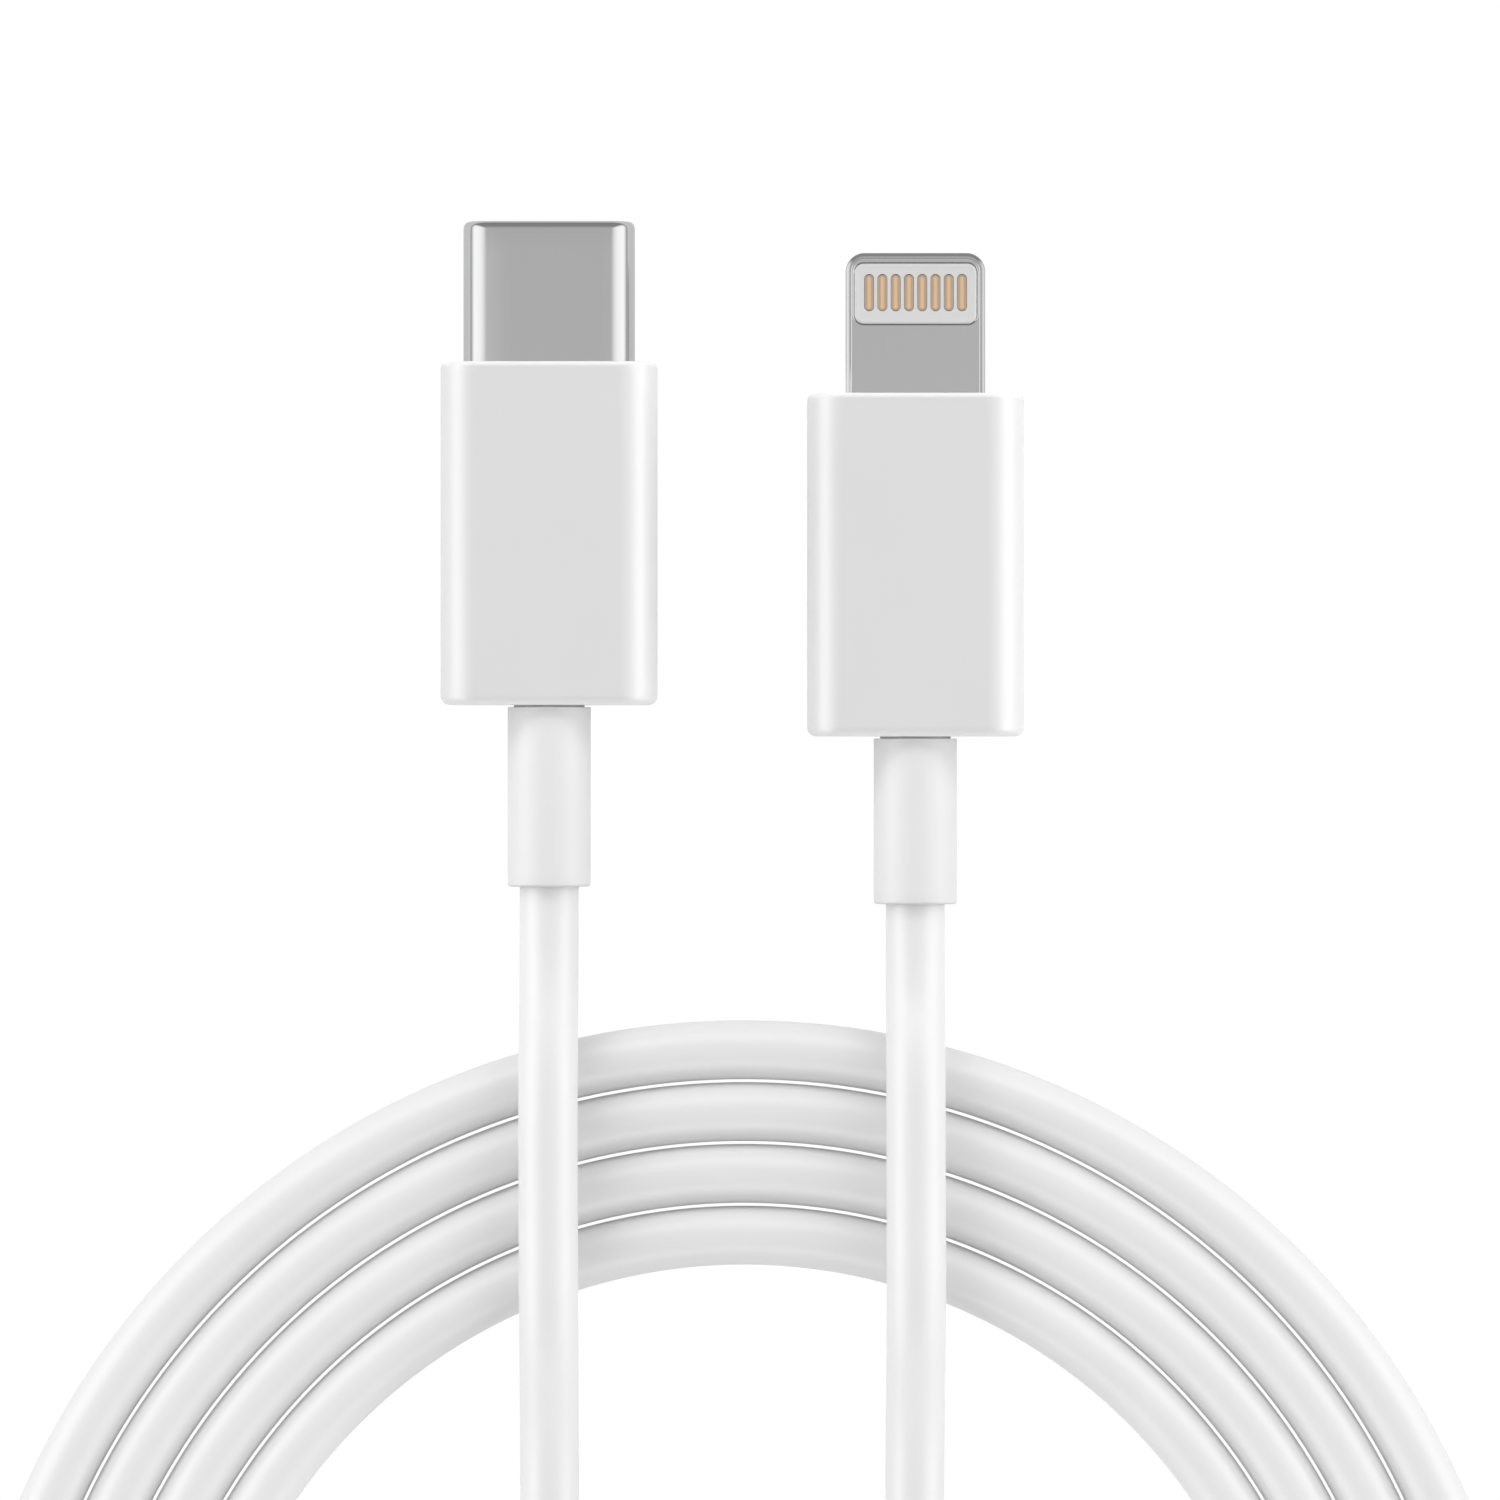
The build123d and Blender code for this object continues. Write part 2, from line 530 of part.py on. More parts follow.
# T-shaped board: its neck runs up the hollow to the contact carrier
TAB_SHIFT = TAB_FRONT - USB_FRONT
TAB_BOARD_REAR = USB_BOARD_REAR + TAB_SHIFT
with BuildPart() as tab_circuit_board:
    with BuildSketch(level(TAB_X, -0.4)):
        with Locations((0, (5.3 + TAB_BOARD_REAR) / 2)):
            Rectangle(7.2, 5.3 - TAB_BOARD_REAR)
        with Locations((0, (9.15 + 5.1) / 2)):
            Rectangle(5.0, 9.15 - 5.1)
    extrude(amount=0.8)
tab_circuit_board.part.label = "tab_circuit_board"
export_step(tab_circuit_board.part, "parts/tab_circuit_board.step")

with BuildPart() as tab_control_chip:
    with BuildSketch(level(TAB_X, 0.4)):
        with Locations((-1.5, 3.85)):
            Rectangle(2.2, 2.2)
    extrude(amount=0.7)
tab_control_chip.part.label = "tab_control_chip"
export_step(tab_control_chip.part, "parts/tab_control_chip.step")

with BuildPart() as tab_board_parts:
    with BuildSketch(level(TAB_X, 0.4)):
        with Locations((1.5, 4.5)):
            Rectangle(1.6, 0.8)
        with Locations((1.2, 3.4), (2.6, 3.4)):
            Rectangle(1.0, 0.5)
    extrude(amount=0.4)
tab_board_parts.part.label = "tab_board_parts"
export_step(tab_board_parts.part, "parts/tab_board_parts.step")

TAB_CAN_FRONT, TAB_CAN_REAR = 5.4, USB_CAN_REAR + TAB_SHIFT
with BuildPart() as tab_upper_shield:
    with BuildSketch(across(TAB_X, TAB_CAN_FRONT)):
        RectangleRounded(SHIELD_W, SHIELD_H, SHIELD_R)
    extrude(amount=TAB_CAN_FRONT - TAB_CAN_REAR)
    with BuildSketch(across(TAB_X, TAB_CAN_FRONT)):
        RectangleRounded(SHIELD_W - 2 * SHIELD_T, SHIELD_H - 2 * SHIELD_T, SHIELD_R - SHIELD_T)
    extrude(amount=TAB_CAN_FRONT - TAB_CAN_REAR - SHIELD_T, mode=Mode.SUBTRACT)
    with BuildSketch(across(TAB_X, TAB_CAN_REAR + 0.5)):
        Circle(1.25)
    extrude(amount=1, mode=Mode.SUBTRACT)
    split(bisect_by=level(TAB_X, 0), keep=Keep.TOP)
tab_upper_shield.part.label = "tab_upper_shield"
export_step(tab_upper_shield.part, "parts/tab_upper_shield.step")

with BuildPart() as tab_lower_shield:
    with BuildSketch(across(TAB_X, TAB_CAN_FRONT)):
        RectangleRounded(SHIELD_W, SHIELD_H, SHIELD_R)
    extrude(amount=TAB_CAN_FRONT - TAB_CAN_REAR)
    with BuildSketch(across(TAB_X, TAB_CAN_FRONT)):
        RectangleRounded(SHIELD_W - 2 * SHIELD_T, SHIELD_H - 2 * SHIELD_T, SHIELD_R - SHIELD_T)
    extrude(amount=TAB_CAN_FRONT - TAB_CAN_REAR - SHIELD_T, mode=Mode.SUBTRACT)
    with BuildSketch(across(TAB_X, TAB_CAN_REAR + 0.5)):
        Circle(1.25)
    extrude(amount=1, mode=Mode.SUBTRACT)
    split(bisect_by=level(TAB_X, 0), keep=Keep.BOTTOM)
tab_lower_shield.part.label = "tab_lower_shield"
export_step(tab_lower_shield.part, "parts/tab_lower_shield.step")

with BuildPart() as tab_crimp_ferrule:
    with BuildSketch(across(TAB_X, TAB_CAN_REAR - 0.12)):
        Circle(FERRULE_OD / 2)
        Circle(FERRULE_ID / 2, mode=Mode.SUBTRACT)
    extrude(amount=1.65)
tab_crimp_ferrule.part.label = "tab_crimp_ferrule"
export_step(tab_crimp_ferrule.part, "parts/tab_crimp_ferrule.step")

with BuildPart() as tab_braid_end:
    with BuildSketch(across(TAB_X, -1.2 + TAB_SHIFT)):
        Circle(BRAID_OD / 2)
        Circle(BRAID_ID / 2, mode=Mode.SUBTRACT)
    extrude(amount=-1.2 + TAB_SHIFT - (TAB_RELIEF_END + 0.1))
tab_braid_end.part.label = "tab_braid_end"
export_step(tab_braid_end.part, "parts/tab_braid_end.step")

with BuildPart() as tab_jacket_end:
    with BuildSketch(across(TAB_X, JACKET_CUT + TAB_SHIFT)):
        Circle(CORD_D / 2)
        Circle(JACKET_BORE / 2, mode=Mode.SUBTRACT)
    extrude(amount=JACKET_CUT + TAB_SHIFT - TAB_RELIEF_END)
tab_jacket_end.part.label = "tab_jacket_end"
export_step(tab_jacket_end.part, "parts/tab_jacket_end.step")

with BuildPart() as tab_inner_mould:
    with BuildSketch(across(TAB_X, 8.3 + TAB_SHIFT + 0.06)):
        RectangleRounded(8.9, 3.7, 1.2)
    extrude(amount=8.3 + 4.5 + 0.06)
    with BuildSketch(across(TAB_X, 8.3 + TAB_SHIFT + 0.06)):
        RectangleRounded(8.3, 3.1, 0.55)
    extrude(amount=8.3 + 0.06 - (USB_CAN_REAR - 0.1), mode=Mode.SUBTRACT)
    with BuildSketch(across(TAB_X, 8.3)):
        Circle(1.8)
    extrude(amount=20, mode=Mode.SUBTRACT)
tab_inner_mould.part.label = "tab_inner_mould"
export_step(tab_inner_mould.part, "parts/tab_inner_mould.step")

with BuildPart() as tab_housing:
    with BuildSketch(across(TAB_X, TAB_FRONT)):
        RectangleRounded(HOUSING_W, HOUSING_H, HOUSING_R)
    extrude(amount=HOUSING_L)
    fillet(tab_housing.faces().sort_by(Axis.Y)[0].edges(), HOUSING_REAR_R)
    fillet(tab_housing.faces().sort_by(Axis.Y)[-1].edges(), HOUSING_FRONT_R)
    with BuildSketch(across(TAB_X, TAB_FRONT - FRONT_WALL)):
        RectangleRounded(CAVITY_W, CAVITY_H, CAVITY_R)
    extrude(amount=HOUSING_L - FRONT_WALL - REAR_WALL, mode=Mode.SUBTRACT)
    with BuildSketch(across(TAB_X, TAB_FRONT)):
        RectangleRounded(TAB_W + 0.06, TAB_H + 0.06, TAB_EDGE_R + 0.03)
    extrude(amount=FRONT_WALL, mode=Mode.SUBTRACT)
    with BuildSketch(across(TAB_X, TAB_REAR)):
        Circle(NECK_D / 2 + 0.03)
    extrude(amount=-REAR_WALL, mode=Mode.SUBTRACT)
tab_housing.part.label = "tab_housing"
export_step(tab_housing.part, "parts/tab_housing.step")

with BuildPart() as tab_strain_relief:
    with BuildSketch(across(TAB_X, TAB_REAR - 0.02)):
        Circle(RELIEF_D / 2)
    extrude(amount=TAB_REAR - 0.02 - TAB_RELIEF_END)
    fillet(tab_strain_relief.faces().sort_by(Axis.Y)[0].edges(), 0.12)
    with BuildSketch(across(TAB_X, TAB_REAR - 0.02)):
        Circle(NECK_D / 2)
    extrude(amount=-(REAR_WALL + 0.04))
    with BuildSketch(across(TAB_X, TAB_REAR + REAR_WALL + 0.02)):
        Circle(FLANGE_D / 2)
    extrude(amount=-0.9)
    with BuildSketch(across(TAB_X, 0)):
        Circle(RELIEF_BORE / 2)
    extrude(amount=20, mode=Mode.SUBTRACT)
tab_strain_relief.part.label = "tab_strain_relief"
export_step(tab_strain_relief.part, "parts/tab_strain_relief.step")

TAB_WIRE = dict(
    x=TAB_X, start_y=TAB_RELIEF_END + 0.15, bend_y=-0.9 + TAB_SHIFT,
    pad_y=1.0 + TAB_SHIFT, end_y=2.98 + TAB_SHIFT,
)

with BuildPart() as tab_red_wire:
    with BuildLine() as tab_red_path:
        FilletPolyline(*wire_route(dx=-WIRE_OFFSET, dz=WIRE_OFFSET, pad_x=-2.4, **TAB_WIRE), radius=0.8)
    with BuildSketch(Plane(origin=tab_red_path.line @ 0, z_dir=tab_red_path.line % 0)):
        Circle(WIRE_D / 2)
    sweep()
tab_red_wire.part.label = "tab_red_wire"
export_step(tab_red_wire.part, "parts/tab_red_wire.step")

with BuildPart() as tab_white_wire:
    with BuildLine() as tab_white_path:
        FilletPolyline(*wire_route(dx=-WIRE_OFFSET, dz=-WIRE_OFFSET, pad_x=-0.8, **TAB_WIRE), radius=0.8)
    with BuildSketch(Plane(origin=tab_white_path.line @ 0, z_dir=tab_white_path.line % 0)):
        Circle(WIRE_D / 2)
    sweep()
tab_white_wire.part.label = "tab_white_wire"
export_step(tab_white_wire.part, "parts/tab_white_wire.step")

with BuildPart() as tab_green_wire:
    with BuildLine() as tab_green_path:
        FilletPolyline(*wire_route(dx=WIRE_OFFSET, dz=-WIRE_OFFSET, pad_x=0.8, **TAB_WIRE), radius=0.8)
    with BuildSketch(Plane(origin=tab_green_path.line @ 0, z_dir=tab_green_path.line % 0)):
        Circle(WIRE_D / 2)
    sweep()
tab_green_wire.part.label = "tab_green_wire"
export_step(tab_green_wire.part, "parts/tab_green_wire.step")

with BuildPart() as tab_black_wire:
    with BuildLine() as tab_black_path:
        FilletPolyline(*wire_route(dx=WIRE_OFFSET, dz=WIRE_OFFSET, pad_x=2.4, **TAB_WIRE), radius=0.8)
    with BuildSketch(Plane(origin=tab_black_path.line @ 0, z_dir=tab_black_path.line % 0)):
        Circle(WIRE_D / 2)
    sweep()
tab_black_wire.part.label = "tab_black_wire"
export_step(tab_black_wire.part, "parts/tab_black_wire.step")

with BuildPart() as tab_solder_joints:
    with BuildSketch(level(TAB_X, 0.4)):
        with Locations(*[(x, 3.42 + TAB_SHIFT) for x in (-2.4, -0.8, 0.8, 2.4)]):
            RectangleRounded(0.95, 0.8, 0.3)
    extrude(amount=0.45)
    fillet(tab_solder_joints.faces().group_by(Axis.Z)[-1].edges(), 0.28)
tab_solder_joints.part.label = "tab_solder_joints"
export_step(tab_solder_joints.part, "parts/tab_solder_joints.step")

# ================================================================ cord
# free stretch from the type C plug, over the coil and into its inner turn
usb_lead_radii = corner_radii(USB_LEAD_ROUTE)
with BuildPart() as usb_side_lead:
    with BuildLine() as usb_lead_path:
        FilletPolyline(*USB_LEAD_ROUTE, radius=usb_lead_radii)
    with BuildSketch(Plane(origin=usb_lead_path.line @ 0, z_dir=usb_lead_path.line % 0)):
        Circle(CORD_D / 2)
    sweep()
usb_side_lead.part.label = "usb_side_lead"
export_step(usb_side_lead.part, "parts/usb_side_lead.step")

# free stretch from the tab plug, over the coil and on to its outer turn
tab_lead_radii = corner_radii(TAB_LEAD_ROUTE)
with BuildPart() as tab_side_lead:
    with BuildLine() as tab_lead_path:
        FilletPolyline(*TAB_LEAD_ROUTE, radius=tab_lead_radii)
    with BuildSketch(Plane(origin=tab_lead_path.line @ 0, z_dir=tab_lead_path.line % 0)):
        Circle(CORD_D / 2)
    sweep()
tab_side_lead.part.label = "tab_side_lead"
export_step(tab_side_lead.part, "parts/tab_side_lead.step")

# outer shape of the coil: a flat ring as thick as the cord
coil_inner = COIL_R1 - CORD_D / 2
coil_outer = COIL_R1 + (COIL_TURNS - 1) * COIL_PITCH + CORD_D / 2
with BuildPart() as cord_coil:
    with BuildSketch(Plane.XY):
        with Locations((COIL_X, COIL_Y)):
            Circle(coil_outer)
            Circle(coil_inner, mode=Mode.SUBTRACT)
    extrude(amount=CORD_D)
    fillet(cord_coil.edges().filter_by(GeomType.CIRCLE), COIL_EDGE_R)
cord_coil.part.label = "cord_coil"
export_step(cord_coil.part, "parts/cord_coil.step")

section = math.pi * CORD_D ** 2 / 4
print("usb lead radii", [round(r, 1) for r in usb_lead_radii])
print("tab lead radii", [round(r, 1) for r in tab_lead_radii])
for name, path, tube in (
    ("usb lead", usb_lead_path, usb_side_lead),
    ("tab lead", tab_lead_path, tab_side_lead),
):
    length = sum(edge.length for edge in path.line.edges())
    print(name, "length", round(length, 1), "section x length", round(section * length, 1),
          "volume", round(tube.part.volume, 1))
turns = sum(2 * math.pi * (COIL_R1 + i * COIL_PITCH) for i in range(COIL_TURNS))
print("four whole turns", round(turns, 1))
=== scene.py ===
import json
import math

import bmesh
import bpy
from mathutils import Matrix, Vector


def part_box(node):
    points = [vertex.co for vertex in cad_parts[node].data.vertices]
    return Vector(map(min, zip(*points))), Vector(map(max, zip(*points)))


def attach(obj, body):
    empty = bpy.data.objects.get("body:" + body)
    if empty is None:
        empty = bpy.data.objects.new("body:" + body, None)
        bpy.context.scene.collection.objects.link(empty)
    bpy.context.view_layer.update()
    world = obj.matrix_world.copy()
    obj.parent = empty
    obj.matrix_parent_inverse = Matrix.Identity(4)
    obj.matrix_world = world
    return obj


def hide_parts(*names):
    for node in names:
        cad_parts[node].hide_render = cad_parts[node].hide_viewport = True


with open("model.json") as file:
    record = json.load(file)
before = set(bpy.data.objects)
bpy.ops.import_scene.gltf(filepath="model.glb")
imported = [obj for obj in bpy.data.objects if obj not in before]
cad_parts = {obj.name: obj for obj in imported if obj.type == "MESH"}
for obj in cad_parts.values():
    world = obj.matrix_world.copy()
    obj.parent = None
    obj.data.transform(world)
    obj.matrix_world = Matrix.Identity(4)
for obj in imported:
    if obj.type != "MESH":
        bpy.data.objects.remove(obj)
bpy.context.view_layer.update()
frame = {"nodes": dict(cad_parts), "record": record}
nodes = frame["nodes"]
scene = bpy.context.scene
MM = 0.001


ROOM = (0.62, 0.42, 0.31, 0.33, 0.48, 0.63)   # brightness of the room, horizon to zenith


# ------------------------------------------------------------------ camera
# straight down on the table, both plugs pointing up the picture
VIEW_W = 0.072115          # width of the picture at the plugs' mid-height
camera_data = bpy.data.cameras.new("camera")
camera_data.sensor_width = 36.0
camera_data.lens = 200.0
camera_data.clip_start = 0.01
camera_data.clip_end = 20.0
camera = bpy.data.objects.new("camera", camera_data)
scene.collection.objects.link(camera)
camera.location = (0.000853, -0.00899, 0.0026 + VIEW_W * 200.0 / 36.0)
camera.rotation_euler = (0.0, 0.0, 0.0)
scene.camera = camera

# ------------------------------------------------------------------ cord
# the same route as the CAD tubes, in metres, with the coil's turns between
CORD_D = 0.00286
USB_LEAD = [
    (-0.00880, -0.01555, 0.00260), (-0.00880, -0.01930, 0.00260), (-0.00881, -0.02520, 0.00496),
    (-0.00880, -0.03100, 0.00470), (-0.00878, -0.03590, 0.00476), (-0.00880, -0.04300, 0.00160),
    (-0.00882, -0.05020, 0.00146), (-0.00880, -0.05730, 0.00146), (-0.00876, -0.06430, 0.00145),
    (-0.00880, -0.07071, 0.00145), (-0.00625, -0.07687, 0.00145), (-0.00154, -0.08156, 0.00145),
    (0.00462, -0.08408, 0.00145), (0.01126, -0.08403, 0.00145), (0.01734, -0.08144, 0.00145),
]
TAB_LEAD = [
    (0.00880, -0.01639, 0.00260), (0.00880, -0.02005, 0.00260), (0.00879, -0.02500, 0.00500),
    (0.00880, -0.03060, 0.00470), (0.00882, -0.03560, 0.00476), (0.00880, -0.04270, 0.00160),
    (0.00878, -0.04980, 0.00146), (0.00880, -0.05680, 0.00147), (0.00882, -0.06340, 0.00158),
    (0.00880, -0.06960, 0.00225), (0.00880, -0.07569, 0.00360), (0.00576, -0.08303, 0.00485),
    (0.00015, -0.08864, 0.00482), (-0.00719, -0.09168, 0.00476), (-0.01513, -0.09168, 0.00452),
    (-0.02247, -0.08864, 0.00286),
]
COIL_X, COIL_Y, COIL_Z = 0.00056, -0.0600, 0.00145
COIL_R1, COIL_PITCH = 0.02762, 0.00298
STEP = 15.0                      # degrees between the points of a turn
SHIFT_FROM, SHIFT_TO = 225.0, 345.0   # where every turn moves out by one pitch


def smooth(t):
    t = min(max(t, 0.0), 1.0)
    return t * t * (3 - 2 * t)


def coil_points():
    points = []
    angle = -37.5
    while angle <= 1297.6:
        turns = sum(
            smooth((angle - (360 * k + SHIFT_FROM)) / (SHIFT_TO - SHIFT_FROM))
            for k in range(-1, 5)
        )
        radius = (COIL_R1 + COIL_PITCH * (turns - 1)) / math.cos(math.radians(STEP / 2))
        a = math.radians(angle)
        points.append((COIL_X + radius * math.cos(a), COIL_Y + radius * math.sin(a), COIL_Z))
        angle += STEP
    return points


route = USB_LEAD + coil_points() + TAB_LEAD[::-1]
cord_curve = bpy.data.curves.new("charging_cord", "CURVE")
cord_curve.dimensions = "3D"
cord_curve.bevel_depth = 1.0      # times the points' radius, which is the cord's
cord_curve.bevel_resolution = 10
cord_curve.resolution_u = 10
cord_curve.use_fill_caps = True
spline = cord_curve.splines.new("NURBS")
spline.points.add(len(route) - 1)
for point, (x, y, z) in zip(spline.points, route):
    point.co = (x, y, z, 1.0)
    point.radius = CORD_D / 2 - 0.00001     # the jacket a hair slimmer, so the turns part
spline.order_u = 3
spline.use_endpoint_u = True
spline.use_smooth = True
cord = bpy.data.objects.new("charging_cord", cord_curve)
scene.collection.objects.link(cord)
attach(cord, "cable")
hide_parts("usb_side_lead", "tab_side_lead", "cord_coil")


# ------------------------------------------------------------------ materials
def new_material(name):
    material = bpy.data.materials.new(name)
    material.use_nodes = True
    tree = material.node_tree
    tree.nodes.clear()
    out = tree.nodes.new("ShaderNodeOutputMaterial")
    shader = tree.nodes.new("ShaderNodeBsdfPrincipled")
    tree.links.new(shader.outputs["BSDF"], out.inputs["Surface"])
    return material, tree, shader


def noise(tree, scale, detail=3.0, roughness=0.5, stretch=(1, 1, 1), rotate=(0, 0, 0)):
    coords = tree.nodes.new("ShaderNodeTexCoord")
    mapping = tree.nodes.new("ShaderNodeMapping")
    mapping.inputs["Scale"].default_value = stretch
    mapping.inputs["Rotation"].default_value = rotate
    tex = tree.nodes.new("ShaderNodeTexNoise")
    tex.inputs["Scale"].default_value = scale
    tex.inputs["Detail"].default_value = detail
    tex.inputs["Roughness"].default_value = roughness
    tree.links.new(coords.outputs["Object"], mapping.inputs["Vector"])
    tree.links.new(mapping.outputs["Vector"], tex.inputs["Vector"])
    return tex.outputs["Fac"]


def ramp(tree, value, stops):
    node = tree.nodes.new("ShaderNodeValToRGB")
    while len(node.color_ramp.elements) < len(stops):
        node.color_ramp.elements.new(0.5)
    for element, (position, colour) in zip(node.color_ramp.elements, stops):
        element.position = position
        element.color = (*colour, 1.0)
    tree.links.new(value, node.inputs["Fac"])
    return node.outputs["Color"]


def span(tree, value, low, high):
    node = tree.nodes.new("ShaderNodeMapRange")
    node.inputs["From Min"].default_value = 0.25
    node.inputs["From Max"].default_value = 0.75
    node.inputs["To Min"].default_value = low
    node.inputs["To Max"].default_value = high
    tree.links.new(value, node.inputs["Value"])
    return node.outputs["Result"]


def bump(tree, shader, value, strength, distance):
    node = tree.nodes.new("ShaderNodeBump")
    node.inputs["Strength"].default_value = strength
    node.inputs["Distance"].default_value = distance
    tree.links.new(value, node.inputs["Height"])
    tree.links.new(node.outputs["Normal"], shader.inputs["Normal"])


def plastic(name, low, high, rough, spread, grain, depth, specular=0.5, subsurface=0.0, coat=0.0):
    """Moulded plastic: a faint cloud in the colour, a fine satin grain."""
    material, tree, shader = new_material(name)
    tree.links.new(
        ramp(tree, noise(tree, 180.0, 4.0, 0.55), [(0.30, low), (0.70, high)]),
        shader.inputs["Base Color"],
    )
    tree.links.new(
        span(tree, noise(tree, 900.0, 3.0), rough - spread, rough + spread),
        shader.inputs["Roughness"],
    )
    bump(tree, shader, noise(tree, grain, 4.0, 0.6), 0.25, depth)
    shader.inputs["Specular IOR Level"].default_value = specular
    if subsurface:
        shader.inputs["Subsurface Weight"].default_value = subsurface
        shader.inputs["Subsurface Radius"].default_value = (1.0, 0.95, 0.9)
        shader.inputs["Subsurface Scale"].default_value = 0.0006
    if coat:
        shader.inputs["Coat Weight"].default_value = coat
        shader.inputs["Coat Roughness"].default_value = 0.08
    return material


def metal(name, low, high, rough, spread, stretch, grain=2400.0, depth=0.000004):
    """Drawn or rolled metal: fine lines along one direction."""
    material, tree, shader = new_material(name)
    lines = noise(tree, grain, 5.0, 0.62, stretch)
    tree.links.new(ramp(tree, lines, [(0.30, low), (0.70, high)]), shader.inputs["Base Color"])
    tree.links.new(
        span(tree, noise(tree, grain * 0.8, 4.0, 0.6, stretch), rough - spread, rough + spread),
        shader.inputs["Roughness"],
    )
    bump(tree, shader, lines, 0.2, depth)
    shader.inputs["Metallic"].default_value = 1.0
    return material


ALONG = (1.0, 0.06, 1.0)     # lines that run along a plug
materials = {
    "housing_white": plastic("housing_white", (0.674, 0.674, 0.674), (0.684, 0.684, 0.684), 0.36, 0.015, 1500.0, 0.0000006),
    "strain_relief_white": plastic("strain_relief_white", (0.702, 0.702, 0.702), (0.716, 0.716, 0.716), 0.46, 0.02, 1500.0, 0.0000008, 0.32),
    "cord_jacket": plastic("cord_jacket", (0.775, 0.775, 0.775), (0.790, 0.790, 0.790), 0.40, 0.025, 1500.0, 0.0000010, 0.42),
    "shell_steel": metal("shell_steel", (0.630, 0.630, 0.634), (0.641, 0.641, 0.645), 0.15, 0.012, ALONG, 5200.0, 0.0000005),
    "tab_steel": metal("tab_steel", (0.661, 0.661, 0.665), (0.672, 0.672, 0.676), 0.15, 0.012, ALONG, 5200.0, 0.0000005),
    "spring_steel": metal("spring_steel", (0.66, 0.66, 0.67), (0.74, 0.74, 0.75), 0.22, 0.05, ALONG),
    "shield_steel": metal("shield_steel", (0.55, 0.56, 0.57), (0.63, 0.64, 0.65), 0.32, 0.06, ALONG),
    "black_insulator": plastic("black_insulator", (0.018, 0.018, 0.019), (0.028, 0.028, 0.03), 0.45, 0.06, 4200.0, 0.000004),
    "carrier_grey": plastic("carrier_grey", (0.694, 0.694, 0.694), (0.706, 0.706, 0.706), 0.42, 0.03, 1800.0, 0.0000008),
    "contact_gold": metal("contact_gold", (0.82, 0.58, 0.36), (0.88, 0.64, 0.41), 0.30, 0.05, ALONG),
    "board_green": plastic("board_green", (0.02, 0.10, 0.05), (0.03, 0.14, 0.07), 0.3, 0.05, 2600.0, 0.000006),
    "chip_black": plastic("chip_black", (0.02, 0.02, 0.02), (0.03, 0.03, 0.03), 0.5, 0.06, 4000.0, 0.000005),
    "inner_plastic": plastic("inner_plastic", (0.66, 0.66, 0.62), (0.72, 0.72, 0.68), 0.4, 0.05, 3000.0, 0.000005),
    "braid_copper": metal("braid_copper", (0.60, 0.42, 0.32), (0.72, 0.52, 0.40), 0.35, 0.06, (1, 1, 1)),
    "wire_red": plastic("wire_red", (0.42, 0.015, 0.012), (0.50, 0.022, 0.018), 0.35, 0.05, 3000.0, 0.000003),
    "wire_white": plastic("wire_white", (0.72, 0.72, 0.72), (0.78, 0.78, 0.78), 0.35, 0.05, 3000.0, 0.000003),
    "wire_green": plastic("wire_green", (0.01, 0.14, 0.04), (0.015, 0.18, 0.05), 0.35, 0.05, 3000.0, 0.000003),
    "wire_black": plastic("wire_black", (0.012, 0.012, 0.012), (0.02, 0.02, 0.02), 0.35, 0.05, 3000.0, 0.000003),
    "solder": metal("solder", (0.62, 0.62, 0.62), (0.72, 0.72, 0.72), 0.25, 0.08, (1, 1, 1)),
}


